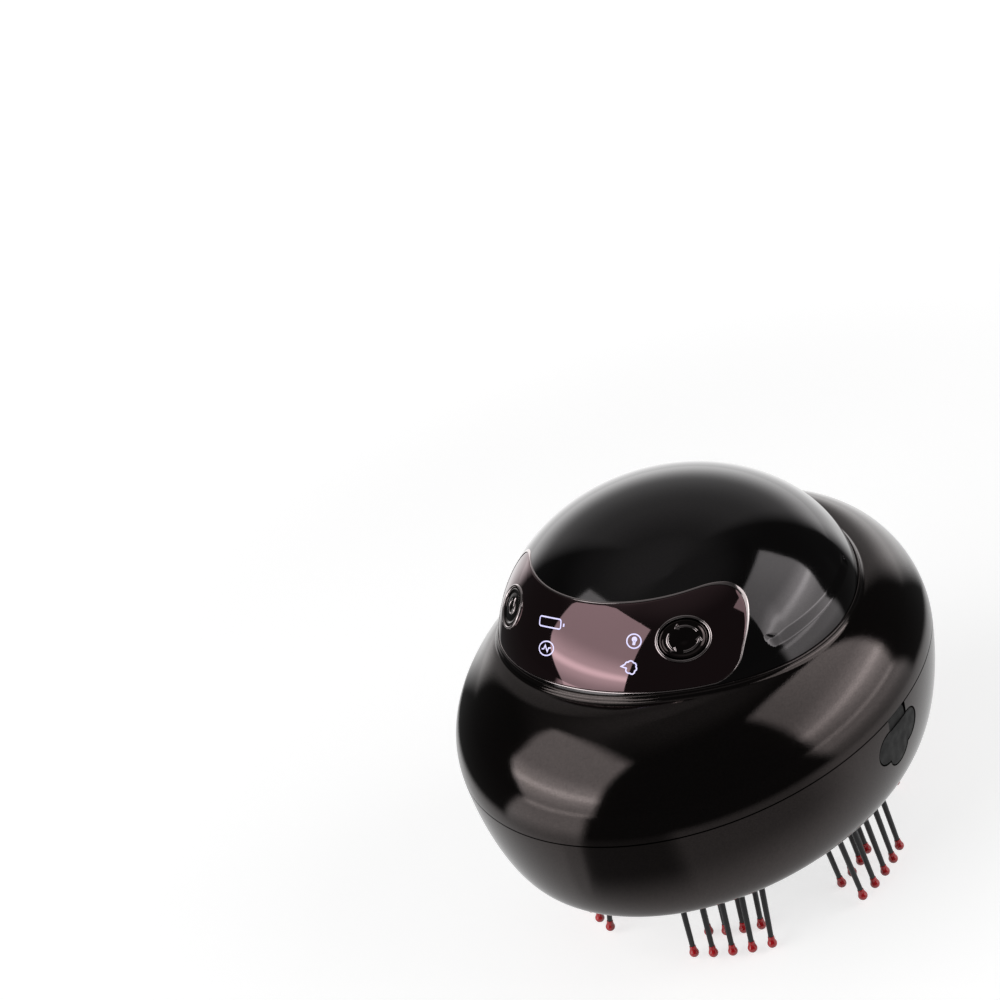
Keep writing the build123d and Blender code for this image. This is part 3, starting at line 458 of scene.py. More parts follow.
def lower_half_sizes(z):
    rise = np.clip((z - ring_z) / (seam_z - ring_z), 0.0, 1.0)
    turn = np.arccos((1 - rise) ** (lower_roundness / 2))
    grow = np.sin(turn) ** (2 / lower_roundness)
    return ring_x + (seam_x - ring_x) * grow, ring_y + (seam_y - ring_y) * grow


def outside_lower(points):
    """Distance outside the lower casing's side wall, roughly."""
    half_x, half_y = lower_half_sizes(points[:, 2])
    spread = np.hypot(points[:, 0], points[:, 1])
    return spread - oval_reach(half_x, half_y, np.arctan2(points[:, 0], -points[:, 1]))


# %% [markdown]
# ### From the flat ring to the parting line and back
# The rings climb the outside of the wall, turn in over the tongue that the upper casing laps, and come
# down inside. A groove of a third of a millimetre at the parting line and one round the flat ring give
# the two fine dark lines. Behind the charging port the inside of the wall is flat, because a frame for
# the socket leans on it there.

# %% Build the lower casing
groove = 0.3 * MM
side_steps, side_crowding, side_start = 30, 0.8, 0.02 * MM
tongue_out, tongue_in, tongue_rise = 1.1 * MM, casing_wall, 1.2 * MM
inner_shares = (0.95, 0.8, 0.6, 0.4, 0.2, 0.05, 0.0)
port_back_x, port_frame_half = seam_x - 4.3 * MM, 10.2 * MM
hole_bevel = 0.15 * MM
ring_groove = [(0.45, 0.0), (0.38, 0.22), (0.12, 0.22), (0.05, 0.05)]


def outer_side():
    rings = []
    for index in range(side_steps + 1):
        turn = radians(90) * (index / side_steps) ** side_crowding
        z = ring_z + (seam_z - groove / 2 - ring_z) * (1 - cos(turn) ** (2 / lower_roundness))
        rings.append(oval_ring(*lower_half_sizes(z), max(z, ring_z + side_start)))
    return rings


def inner_side():
    rings = []
    for share in inner_shares:
        z = floor_z + (seam_z - floor_z) * share
        half_x, half_y = lower_half_sizes(z)
        rings.append(oval_ring(half_x - casing_wall, half_y - casing_wall, z))
    for point in (point for ring in rings for point in ring):
        if point.x > port_back_x and abs(point.y) < port_frame_half:
            point.x = port_back_x
    return rings


def lower_rings():
    lip_z, tongue_z = seam_z - groove / 2, seam_z + tongue_rise
    tongue = [seam_ring(groove, lip_z), seam_ring(tongue_out, lip_z),
              seam_ring(tongue_out, tongue_z), seam_ring(tongue_in, tongue_z)]
    hole = [round_ring(hole_radius, floor_z), round_ring(hole_radius, ring_z + hole_bevel),
            round_ring(hole_radius + hole_bevel, ring_z)]
    flat_ring = [oval_ring(ring_x - inset * MM, ring_y - inset * MM, ring_z + deep * MM)
                 for inset, deep in ring_groove]
    return outer_side() + tongue + inner_side() + hole + flat_ring


lower_shell = ring_skin("lower_shell", lower_rings())
print("rings of the lower casing:", len(lower_rings()))

# %% [markdown]
# ### Flat outlines and prisms
# An opening is cut with a prism: a flat outline that is drawn once at each end. Its place is a matrix,
# so the same few outlines can be laid in the flat ring, in the side or square to the dome.


# %% Helpers for outlines
def prism(name, outline, place, low, high):
    """Closed prism of a flat outline; place maps local x, y, z to the model."""
    rings = [[place @ Vector((x, y, z)) for x, y in outline] for z in (low, high)]
    return ring_skin(name, rings, flat_ends)


def arc(x, y, radius, start, end, steps=16):
    turns = [radians(start + (end - start) * i / steps) for i in range(steps + 1)]
    return [(x + radius * cos(t), y + radius * sin(t)) for t in turns]


def circle(radius, steps):
    return [(radius * cos(t), radius * sin(t)) for t in full_turn(steps)]


def capsule(length, width):
    half, radius = (length - width) / 2, width / 2
    return arc(half, 0, radius, -90, 90) + arc(-half, 0, radius, 90, 270)


def around(radius, azimuth, z=0.0):
    """Place on a circle about the axis, with local -y outwards."""
    turn = radians(azimuth)
    move = Matrix.Translation((radius * sin(turn), -radius * cos(turn), z))
    return move @ Matrix.Rotation(turn, 4, "Z")


# %% [markdown]
# ### The recess of the charging port
# The soft cover of the port lies in a recess of its own outline: a capsule as wide as the cover, a
# round tab below for a finger nail, and a strap above that runs up to the parting line.

# %% Outline of the recess
port_z = 40.0 * MM
port_length, port_width, port_clearance = 14.4 * MM, 7.0 * MM, 0.35 * MM
strap_half, tab_radius, tab_drop = 3.0 * MM, 3.4 * MM, 2.9 * MM
port_steps, port_end = 20, 0.05


def port_outline(grow):
    """Capsule with a nail tab below and a strap above, as one outline in y and z."""
    half, radius, strap = (port_length - port_width) / 2, port_width / 2 + grow, strap_half + grow
    tab, tab_z = tab_radius + grow, port_z - tab_drop
    edge = port_z - radius - tab_z
    tab_start = atan2(edge, sqrt(max(tab ** 2 - edge ** 2, 0.0)))
    end_turns = np.linspace(port_end, pi - port_end, port_steps)
    tab_turns = np.linspace(tab_start, -pi - tab_start, port_steps)
    return ([(strap, seam_z), (strap, port_z + radius)]
            + [(half + radius * sin(t), port_z + radius * cos(t)) for t in end_turns]
            + [(tab * cos(t), tab_z + tab * sin(t)) for t in tab_turns]
            + [(-half - radius * sin(t), port_z - radius * cos(t)) for t in end_turns]
            + [(-strap, port_z + radius), (-strap, seam_z)])


print("points of the recess:", len(port_outline(0.0)))

# %% [markdown]
# ### Openings in the lower casing
# Four light windows and two screw covers sit in the flat ring, and the charging port has its recess in
# the side. All prisms are joined first, so that one cut makes them all. The plug's opening comes after
# them, because it starts from the bottom of the recess.

# %% Cut the openings
window_radius, window_azimuth = hole_radius + 2.4 * MM, 17.5
window_azimuths = [window_azimuth, 180 - window_azimuth, 180 + window_azimuth, -window_azimuth]
window_length, window_width, window_fit = 11.2 * MM, 2.8 * MM, 0.1 * MM
cover_y = ring_y - 4.6 * MM
cover_seat, cover_depth = 3.05 * MM, 1.3 * MM
recess_x = seam_x - 1.9 * MM
plug_width, plug_height = 9.64 * MM, 3.9 * MM
sideways = Matrix(((0, 0, 1, 0), (1, 0, 0, 0), (0, 1, 0, 0), (0, 0, 0, 1)))


def lower_cutters():
    slot = capsule(window_length + window_fit, window_width + window_fit)
    cutters = [prism("slot", slot, around(window_radius, azimuth), ring_z - MM, floor_z + MM)
               for azimuth in window_azimuths]
    for side in (-1, 1):
        place = Matrix.Translation((0, side * cover_y, 0))
        cutters.append(prism("seat", circle(cover_seat, 48), place, ring_z - MM, ring_z + cover_depth))
    cutters.append(prism("recess", port_outline(port_clearance), sideways, recess_x, seam_x + MM))
    return join("lower_cutters", cutters)


carve(lower_shell, lower_cutters())
plug_outline = [(y, z + port_z) for y, z in capsule(plug_width, plug_height)]
carve(lower_shell, prism("opening", plug_outline, sideways, port_back_x - MM, recess_x + MM))
shade(lower_shell)
exact_normals(lower_shell, outside_lower)
settle(lower_shell, lacquer, "main_body", ["lower_casing"])

# %% [markdown]
# ## The upper casing
# Above the parting line the body closes in to a shoulder that stops at the dome. Along each direction
# from the axis the profile is the superellipse's, lifted a little towards the dome, most of it in front
# under the display. There a small fillet leads to a fine raised collar. The collar's wall follows the
# dome, its top edge is rounded, and its inner edge leans on the dome.

# %% Profile of the collar
collar_round, collar_wall, collar_thick = 0.6 * MM, 0.75 * MM, 0.35 * MM
collar_edge, collar_crest = 0.22 * MM, 0.05 * MM
collar_steps, collar_turn, crest_steps = 12, 85, 6
collar_wall_shares = (0.35, 0.7725)
lip_gap, lip_close, lip_drop = 0.04 * MM, 0.02 * MM, 0.15 * MM


def lean_radius(z):
    """Radius at which the casing's lip leans on the dome."""
    share = max(z - dome_centre_z, 0.0) / dome_rise
    return dome_radius * sqrt(1 - share * share) + lip_gap


def collar_profile(height, last, top):
    """Fillet from the shoulder's last point, wall, and edge rounded over to the dome."""
    points = []
    for index in range(1, collar_steps + 1):
        turn = radians(collar_turn * index / collar_steps)
        spread = last - collar_round * sin(turn)
        points.append((spread, height(spread) + collar_round * (1 - cos(turn))))
    fillet_z = points[-1][1]
    for share in collar_wall_shares:
        z = fillet_z + (top - collar_edge - fillet_z) * share
        points.append((lean_radius(z) + collar_thick, z))
    for index in range(crest_steps + 1):
        turn = radians(90 * index / crest_steps)
        z = top - collar_edge * (1 - sin(turn))
        crest = collar_crest + (collar_thick - collar_crest) * cos(turn)
        points.append((lean_radius(z) + crest, z))
    return points + [(lean_radius(top - lip_drop) + lip_close, top - lip_drop)]


# %% [markdown]
# ### The shoulder's profile
# The superellipse has no formula for its height at a given distance from the axis, so it is sampled
# finely once and read between the samples. The lift is a soft step that ends a little way outside the
# dome, and it is greatest in front, where the shoulder rises to meet the display.

# %% Profile of the shoulder
lift_reach, lift_reach_share = 11 * MM, 0.85
lift_behind, lift_front, lift_power = 0.25 * MM, 1.80 * MM, 1.2
profile_samples, profile_steps, profile_crowding = 721, 34, 1.3
approach, approach_steps = 0.6 * MM, 6


def shoulder_profile(angle):
    """Spread and height from the parting line to the collar in one direction."""
    turns = np.linspace(0, pi / 2, profile_samples)
    out, up = np.cos(turns) ** (2 / upper_roundness), np.sin(turns) ** (2 / upper_roundness)
    half_x, half_y = shoulder_x + (seam_x - shoulder_x) * out, shoulder_y + (seam_y - shoulder_y) * out
    spreads, heights = oval_reach(half_x, half_y, angle), seam_z + (shoulder_z - seam_z) * up
    reach = min(lift_reach, lift_reach_share * (spreads[0] - dome_radius))
    lift = lift_behind + (lift_front - lift_behind) * ((1 + cos(angle)) / 2) ** lift_power

    def height(spread):
        share = min(max((spread - dome_radius) / reach, 0.0), 1.0)
        return float(np.interp(-spread, -spreads, heights)) + lift * (1 - share * share * (3 - 2 * share))

    foot = height(dome_radius + collar_thick + collar_round)
    last = lean_radius(foot) + collar_thick + collar_round
    first_turn = float(np.interp(seam_z + groove / 2, heights, turns))
    end_turn = float(np.interp(-max(last + approach, spreads[-1]), -spreads, turns))
    run = []
    for index in range(profile_steps + 1):
        turn = first_turn + (end_turn - first_turn) * (index / profile_steps) ** profile_crowding
        run.append(float(np.interp(turn, turns, spreads)))
    end = run[-1]
    run += [end + (last - end) * index / approach_steps for index in range(1, approach_steps + 1)]
    top = foot + collar_round + collar_wall
    return [(spread, height(spread)) for spread in run] + collar_profile(height, last, top)


print("points of the shoulder's profile:", len(shoulder_profile(0.0)))

# %% [markdown]
# ### The whole upper casing
# The profiles of all directions, taken row by row, are the outer rings. They go on down the neck round
# the dome to the seat that the dome stands on, along the inside of the wall, and back to the parting
# line, where a lap fits over the tongue of the lower casing.

# %% Build the upper casing
neck_drop, seat_lip, seat_thick, seat_overlap = 1.2 * MM, 3.8 * MM, 1.8 * MM, 2.1 * MM
wall_shares = (0.75, 0.6, 0.4, 0.2, 0.08)
lap_out, lap_in, lap_rise = 1.0 * MM, 2.3 * MM, 1.3 * MM


def neck_rings():
    leaning = [round_ring(lean_radius(z), z)
               for z in np.linspace(shoulder_z - neck_drop, dome_centre_z + MM, 3)]
    seat_radius, under_z = dome_radius - seat_lip, dome_foot_z - seat_thick
    return leaning + [
        round_ring(neck_radius, dome_centre_z), round_ring(neck_radius, dome_foot_z),
        round_ring(seat_radius, dome_foot_z), round_ring(seat_radius, under_z),
        round_ring(neck_radius + seat_overlap, under_z)]


def wall_ring(share):
    """Inside of the wall at a share of its height."""
    rise = share ** (upper_roundness / 2)
    out = sqrt(1 - rise * rise) ** (2 / upper_roundness)
    half_x = shoulder_x + (seam_x - casing_wall - shoulder_x) * out
    half_y = shoulder_y + (seam_y - casing_wall - shoulder_y) * out
    return oval_ring(half_x, half_y, seam_z + (shoulder_z - casing_wall - seam_z) * share)


def upper_rings():
    profiles = [shoulder_profile(angle) for angle in angles]
    outer = [[Vector((spread * sin(a), -spread * cos(a), z)) for (spread, z), a in zip(row, angles)]
             for row in zip(*profiles)]
    lap_z, foot_z = seam_z + lap_rise, seam_z + groove / 2
    foot = [seam_ring(lap_in, lap_z), seam_ring(lap_out, lap_z),
            seam_ring(lap_out, foot_z), seam_ring(groove, foot_z)]
    return outer + neck_rings() + [wall_ring(share) for share in wall_shares] + foot


upper_shell = ring_skin("upper_shell", upper_rings())
shade(upper_shell)
settle(upper_shell, lacquer, "main_body", ["upper_casing"])

# %% [markdown]
# ## The dome
# The dome is half an ellipsoid of revolution. On both sides a finger grip is pressed into it: a
# shallow hollow that ends below in a level ledge, runs out to nothing above, and has a short hook at
# each end. We press it in by moving the points of the dome's skin inwards, and the same formula gives
# the exact normals.

# %% Shape of the dome
grip_middle, grip_reach, grip_depth = 90.0, 25.0, 0.6 * MM
ledge_low, ledge_high, ledge_corner = dome_centre_z + 7.75 * MM, dome_centre_z + 9.15 * MM, 0.22 * MM
fade_z = dome_centre_z + 18.2 * MM
curl_height, curl_span, curl_limit = 1.6 * MM, 2.6, 1.2
end_fade, end_overrun = 9.0, 0.8
hook_depth, hook_fade, hook_height = 0.55, 1.2, 1.6 * MM


def soft_step(value, low, high):
    share = np.clip((value - low) / (high - low), 0.0, 1.0)
    return share * share * (3 - 2 * share)


def rounded_ramp(value, low, high, corner):
    """0 below, 1 above, a straight slope between, with rounded corners."""
    def rounded(v):
        return np.where(v < -corner, 0.0, np.where(v > corner, v, (v + corner) ** 2 / (4 * corner)))
    return (rounded(value - low) - rounded(value - high)) / (high - low)


def grip_hollow(points):
    """Depth of the finger grips at each point."""
    azimuth = np.degrees(np.arctan2(np.abs(points[:, 0]), -points[:, 1]))
    away, z = np.abs(azimuth - grip_middle), points[:, 2]
    curl = curl_height * np.clip((away - grip_reach + curl_span) / curl_span, 0, curl_limit) ** 2
    above = rounded_ramp(z - curl, ledge_low, ledge_high, ledge_corner)
    fade = 1 - soft_step(z, ledge_high, fade_z)
    ends = 1 - soft_step(away, grip_reach - end_fade, grip_reach + end_overrun)
    hook = hook_depth * (1 - soft_step(away, grip_reach - hook_fade, grip_reach + end_overrun))
    hook = hook * (1 - soft_step(z, ledge_high, ledge_high + hook_height))
    return grip_depth * above * fade * np.maximum(ends, hook)


def dome_share(points):
    """1 on the dome's ellipsoid and less inside it."""
    up = np.maximum(points[:, 2] - dome_centre_z, 0.0) / dome_rise
    return np.hypot(np.hypot(points[:, 0], points[:, 1]) / dome_radius, up)


def outside_dome(points):
    return (dome_share(points) - 1) * dome_radius + grip_hollow(points)


# %% [markdown]
# ### The dome's skin
# Where the grips are, the columns and rows of points stand closer, so that the ledge and the hook keep
# their corners without a heavy mesh elsewhere. The skin starts at the inner pole, runs down inside,
# under the foot and up outside to the outer pole.

# %% Build the dome
fine_from, fine_to, fine_step, coarse_step = 62, 118, 0.5, 1.5
fine_below, fine_above, fine_rows = 0.3 * MM, 1.9 * MM, 30
on_outside = 0.995


def quarter_heights(steps):
    return [sin(radians(90 * i / steps)) for i in range(steps)]


def dome_points(offset, heights, directions):
    """Rings of an ellipsoid grown by an offset, at given heights as shares of its rise."""
    rings = []
    for share in heights:
        spread = (dome_radius + offset) * sqrt(max(1 - share * share, 0.0))
        z = dome_centre_z + (dome_rise + offset) * share
        rings.append([Vector((spread * sin(a), -spread * cos(a), z)) for a in directions])
    return rings


def dome_pole(offset):
    return Vector((0, 0, dome_centre_z + dome_rise + offset))


def dome_directions():
    azimuth, right = 0.0, []
    while azimuth < 180:
        right.append(radians(azimuth))
        azimuth += fine_step if fine_from < azimuth < fine_to else coarse_step
    return right + [2 * pi - turn for turn in reversed(right[1:] + [pi])]


def dome_heights():
    limits = ledge_low - fine_below, ledge_high + fine_above
    low, high = ((z - dome_centre_z) / dome_rise for z in limits)
    near = [low + (high - low) * i / fine_rows for i in range(fine_rows + 1)]
    return sorted([share for share in quarter_heights(64) if not low < share < near[-1]] + near)


def build_dome():
    directions = dome_directions()
    outer = dome_points(0.0, dome_heights(), directions)
    inner = dome_points(-dome_wall, quarter_heights(20), directions)
    foot_in, foot_out = ([Vector((p.x, p.y, dome_foot_z)) for p in side[0]] for side in (inner, outer))
    skin = inner[::-1] + [foot_in, foot_out] + outer
    return ring_skin("dome", skin, (dome_pole(-dome_wall), dome_pole(0.0)))


def press_grips(piece):
    points = point_array(piece.data)
    depth = grip_hollow(points) * (dome_share(points) > on_outside)
    spread = np.maximum(np.hypot(points[:, 0], points[:, 1]), MM)
    points[:, :2] *= (1 - depth / spread)[:, None]
    piece.data.vertices.foreach_set("co", points.ravel())
    piece.data.update()


dome = build_dome()
press_grips(dome)
print("points of the dome:", len(dome.data.vertices))

# %% [markdown]
# ### The display's outline
# The display panel is round above and has small corners below, and its lower edge bows up towards the
# middle. The outline is one function of how much it is grown, because the seat, the panel and the bead
# round it all need it at slightly different sizes.

# %% Outline of the display panel
panel_half_x = 29.3 * MM
panel_low, panel_high = dome_centre_z + 5.6 * MM, dome_centre_z + 20.35 * MM
panel_top_corner, panel_low_corner, panel_bow = 9.2 * MM, 3.2 * MM, 1.75 * MM
panel_thick, panel_gap = 1.4 * MM, 0.12 * MM
bow_end, bow_settle = 1.05, 0.9


def panel_outline(grow):
    """Outline in x and z, round above, with a lower edge that is higher in its middle."""
    half, top, bottom = panel_half_x, panel_top_corner, panel_low_corner
    high, low = panel_high, panel_low
    foot = half - bow_end * bottom
    bow = [(x, low - grow + panel_bow * (1 - (x / half) ** 2)) for x in np.linspace(-foot, foot, 34)]
    corner_z = low + bottom + bow_settle * (bow[0][1] - (low - grow))
    left = [(-half + bottom + (bottom + grow) * cos(t), corner_z + (bottom + grow) * sin(t))
            for t in np.linspace(pi, 1.5 * pi - 2 * panel_bow / half, 10)]
    return (arc(half - top, high - top, top + grow, 0, 90, 22)
            + [(x, high + grow) for x in np.linspace(half - top, top - half, 26)[1:-1]]
            + arc(top - half, high - top, top + grow, 90, 180, 22)
            + left + bow[1:-1] + [(-x, z) for x, z in reversed(left)])


print("points of the panel's outline:", len(panel_outline(0.0)))

# %% [markdown]
# ### The display's seat and the button holes
# The display panel lies in the dome, so the dome gets a recess of the panel's outline and thickness,
# plus a hair of clearance that shows as a fine line all round it. The two buttons pass through panel
# and dome in oval holes, square to the surface.

# %% Cut the dome
button_azimuth, button_z = 40.2, dome_centre_z + 14.45 * MM
button_half = Vector((4.6, 3.6)) * MM
hole_grow, hole_deep, hole_high = 0.8 * MM, 5.2 * MM, 2.6 * MM
frontways = Matrix(((1, 0, 0, 0), (0, 0, -1, 0), (0, 1, 0, 0), (0, 0, 0, 1)))


def dome_frame(azimuth, z):
    """Matrix of the plane that touches the dome: x level, y up the slope, z outwards."""
    share = (z - dome_centre_z) / dome_rise
    spread, turn = dome_radius * sqrt(1 - share * share), radians(azimuth)
    side, lift = spread / dome_radius ** 2, (z - dome_centre_z) / dome_rise ** 2
    out = Vector((side * sin(turn), -side * cos(turn), lift)).normalized()
    level = Vector((cos(turn), sin(turn), 0))
    matrix = Matrix((level, out.cross(level), out)).transposed().to_4x4()
    matrix.translation = Vector((spread * sin(turn), -spread * cos(turn), z))
    return matrix


def panel_seat():
    """Prism of the panel's outline without the part that lies deeper than the panel."""
    seat = prism("seat", panel_outline(panel_gap), frontways, 0.0, dome_radius + 2 * MM)
    deep = -panel_thick - panel_gap
    core = ring_skin("core", dome_points(deep, quarter_heights(40), angles), ("flat", dome_pole(deep)))
    carve(seat, core)
    return seat


button_frames = {"power": dome_frame(-button_azimuth, button_z),
                 "mode": dome_frame(button_azimuth, button_z)}


def cut_button_holes(piece):
    half_x, half_y = button_half.x + hole_grow, button_half.y + hole_grow
    outline = [(half_x * cos(t), half_y * sin(t)) for t in full_turn(72)]
    for place in button_frames.values():
        carve(piece, prism("hole", outline, place, -hole_deep, hole_high))


carve(dome, panel_seat())
cut_button_holes(dome)
shade(dome)
exact_normals(dome, outside_dome, tolerance=0.01 * MM)
settle(dome, dome_lacquer, "main_body", ["dome_shell"])

# %% [markdown]
# ## The display panel
# A curved piece of smoked, faintly mirrored plastic that stands a hair proud of the dome. It is built
# from shrunken copies of its own outline, laid on the ellipsoid, so the edge is true and the rows run
# round it. The last rows roll the edge over by a quarter of a millimetre, as on a moulded lens.

# %% Build the display panel
panel_proud, panel_roll = 0.06 * MM, 0.26 * MM
panel_rows, roll_rows, roll_start = 22, 8, 0.2
back_shares = (0.7, 0.3)


def on_dome(x, z, offset):
    """Point of the front of the dome, grown by an offset, above a place in x and z."""
    across, up = dome_radius + offset, dome_rise + offset
    lift = max(z - dome_centre_z, 0.0) / up
    return Vector((x, -sqrt(max(across ** 2 * (1 - lift * lift) - x * x, 0.0)), z))


def panel_rings():
    middle_z = (panel_low + panel_high) / 2

    def whole(grow, offset):
        return [on_dome(x, z, offset) for x, z in panel_outline(grow)]

    def shrunken(share, offset):
        return [on_dome(x * share, middle_z + (z - middle_z) * share, offset)
                for x, z in panel_outline(-panel_roll)]
    face = [shrunken(i / panel_rows, panel_proud) for i in range(1, panel_rows + 1)]
    edge = [whole(-panel_roll * (1 - sin(t)), panel_proud - panel_roll * (1 - cos(t)))
            for t in np.linspace(roll_start, pi / 2, roll_rows)]
    back = [shrunken(share, -panel_thick) for share in back_shares]
    return face + edge + [whole(0.0, -panel_thick)] + back


panel = ring_skin("panel", panel_rings(), flat_ends)
cut_button_holes(panel)
shade(panel)
exact_normals(panel, lambda points: outside_dome(points) - panel_proud)
settle(panel, smoked_glass, "main_body", ["display_panel"])

# %% [markdown]
# ### The bright line round the panel
# The edge of the real panel shows as a thin bright line. A rolled edge alone is too narrow to catch
# the light from every side, so a bead of smoked chrome, a fifth of a millimetre thick, lies in the
# fine gap and follows the outline.

# %% Bead round the panel
bead_radius, bead_out, bead_up = 0.10 * MM, 0.06 * MM, 0.02 * MM
bead_rings = [[on_dome(x, z, bead_up + bead_radius * sin(turn))
               for x, z in panel_outline(bead_out + bead_radius * cos(turn))] for turn in full_turn(10)]
panel_bead = ring_skin("panel_bead", bead_rings)
shade(panel_bead)
settle(panel_bead, smoked_chrome, "main_body")

# %% [markdown]
# ## The buttons
# Each button is an oval cap with a shallow dish, inside a trim ring of smoked chrome. Both are stacks of
# ovals that follow a profile of insets and heights in millimetres. In the cap the ovals keep their
# proportion as they shrink towards its middle; in the ring the inset is the same all round.

# %% Caps and trim rings
oval_share = button_half.y / button_half.x
cap_profile = [(0.0, -4.4), (0.0, -0.42), (0.08, -0.16), (0.22, -0.02), (0.42, 0.02), (0.62, -0.03),
               (0.80, -0.16), (0.95, -0.22), (1.3, -0.20), (1.9, -0.12), (2.6, -0.10), (3.2, -0.14),
               (3.7, -0.22), (4.1, -0.28), (4.35, -0.30)]
trim_profile = [(-0.74, -2.3), (-0.74, -0.12), (-0.66, 0.06), (-0.48, 0.14), (-0.30, 0.08),
                (-0.18, -0.10), (-0.16, -2.3)]


def oval_rings(place, profile, share):
    """share is how much of the inset along the long axis is taken along the short one."""
    turns, rings = full_turn(96), []
    for inset, height in profile:
        half_x, half_y = button_half.x - inset * MM, button_half.y - inset * share * MM
        rings.append([place @ Vector((half_x * cos(t), half_y * sin(t), height * MM)) for t in turns])
    return rings


for name, place in button_frames.items():
    cap = ring_skin(f"{name}_cap", oval_rings(place, cap_profile, oval_share), flat_ends)
    shade(cap, 60)
    settle(cap, button_black, f"{name}_button", [f"{name}_button"])
    trim = ring_skin(f"{name}_trim", oval_rings(place, trim_profile, 1.0))
    shade(trim, 60)
    settle(trim, smoked_chrome, "main_body", [f"{name}_button_ring"])

# %% [markdown]
# ## Signs on the buttons and the display
# A power sign on the left button, three turning arrows on the right one, and four lit signs under the
# panel: battery, pulse, lamp and puff. All are strokes, each of one width. One helper turns a polyline
# into a low ridge that lies on the surface, square for the lit signs and round for the chrome ones.


# %% Strokes on a surface
sharpest_mitre = 0.5
longest_run = 0.3 * MM
flat_section = [(0, 0), (1, 0), (1, 1), (0, 1)]
arch = [(0.5 + 0.5 * cos(radians(t)), sin(radians(t))) for t in range(20, 180, 20)]
round_section = [(0, 0), (1, 0)] + arch


def stroke_sides(points, width, closed):
    """Left and right edge of a polyline of one width, mitred at its corners."""
    count = len(points)
    sides = []
    for i, (x, y) in enumerate(points):
        ahead = points[(i + 1) % count] if closed or i < count - 1 else points[i]
        behind = points[i - 1] if closed or i > 0 else points[i]
        before = Vector((x - behind[0], y - behind[1]))
        after = Vector((ahead[0] - x, ahead[1] - y))
        before = before.normalized() if before.length else after.normalized()
        after = after.normalized() if after.length else before
        mean = (before + after).normalized()
        across = Vector((-mean.y, mean.x)) * width / 2 / max(mean.dot(after), sharpest_mitre)
        sides.append((Vector((x, y)) + across, Vector((x, y)) - across))
    return sides


def subdivide(points, closed):
    """Adds points on long runs, so that a stroke can follow a curved surface."""
    result = []
    for i, (x, y) in enumerate(points if closed else points[:-1]):
        x2, y2 = points[(i + 1) % len(points)]
        parts = max(ceil(hypot(x2 - x, y2 - y) / longest_run), 1)
        result += [(x + (x2 - x) * k / parts, y + (y2 - y) * k / parts) for k in range(parts)]
    return result if closed else result + [points[-1]]


def stroke(points, width, lift, low, high, closed=False, section=flat_section):
    """Ribbon with a section of shares across and up; lift(x, y, height) maps it to the model."""
    rings = []
    for left, right in stroke_sides(subdivide(points, closed), width, closed):
        rings.append([lift(*left.lerp(right, across), low + (high - low) * up) for across, up in section])
    return ring_skin("stroke", rings, None if closed else flat_ends)


# %% [markdown]
# ### Power sign and turning arrows
# The signs on the buttons are raised and follow the dish of the cap, so their height is read from the
# cap's own profile. They are drawn as circles and pressed to the oval's proportion.

# %% Chrome signs
sign_sink = 0.05 * MM
power_radius, power_width, power_height = 1.75 * MM, 0.42 * MM, 0.15 * MM
arrow_radius, arrow_width, arrow_height = 3.0 * MM, 0.56 * MM, 0.22 * MM
arrow_starts, arrow_span = (20, 140, 260), 84
head_width, head_height = 0.40 * MM, 0.20 * MM
arrow_head = [(0.62 * MM, 76), (0.0, 90), (-0.55 * MM, 76)]


def cap_height(x, y):
    """Height of the cap's dished face at a place in its own plane."""
    inset = button_half.x * (1 - hypot(x / button_half.x, y / button_half.y)) / MM
    insets, heights = zip(*cap_profile[2:])
    return float(np.interp(inset, insets, heights)) * MM


def on_cap(name, points, width, high):
    def lift(x, y, height):
        return button_frames[name] @ Vector((x, y, cap_height(x, y) + height))
    return stroke(points, width, lift, -sign_sink, high, section=round_section)


def oval_arc(radius, start, end, steps=20):
    return [(x, y * oval_share) for x, y in arc(0, 0, radius, start, end, steps)]


def power_sign():
    bow, bar = oval_arc(power_radius, 128, 412, 32), [(0, 0.2 * MM), (0, 2.0 * MM)]
    return join("power_sign", [on_cap("power", line, power_width, power_height) for line in (bow, bar)])


def arrow_sign():
    strokes = []
    for start in arrow_starts:
        shaft = oval_arc(arrow_radius, start, start + arrow_span)
        strokes.append(on_cap("mode", shaft, arrow_width, arrow_height))
        head = [((arrow_radius + out) * cos(radians(start + on)),
                 (arrow_radius + out) * sin(radians(start + on)) * oval_share) for out, on in arrow_head]
        strokes.append(on_cap("mode", head, head_width, head_height))
    return join("arrow_sign", strokes)


for sign, body in ((power_sign(), "power_button"), (arrow_sign(), "mode_button")):
    shade(sign)
    settle(sign, smoked_chrome, body)

# %% [markdown]
# ### Lit signs
# The lit signs glow a cool lavender white through the black panel. They are drawn flat, round their
# own middle, and each is a list of outlines that are closed or open. A unit circle or box is laid on
# two slanted half axes later, because the real signs lean a little.

# %% Shapes of the lit signs
unit_circle = circle(1.0, 36)


def rounded_box(corner_x, corner_y):
    """Box of half size 1 with elliptic corners."""
    corners = [(1 - corner_x, 1 - corner_y, 0), (corner_x - 1, 1 - corner_y, 90),
               (corner_x - 1, corner_y - 1, 180), (1 - corner_x, corner_y - 1, 270)]
    return [(x + corner_x * cos(radians(start + 18 * i)), y + corner_y * sin(radians(start + 18 * i)))
            for x, y, start in corners for i in range(6)]


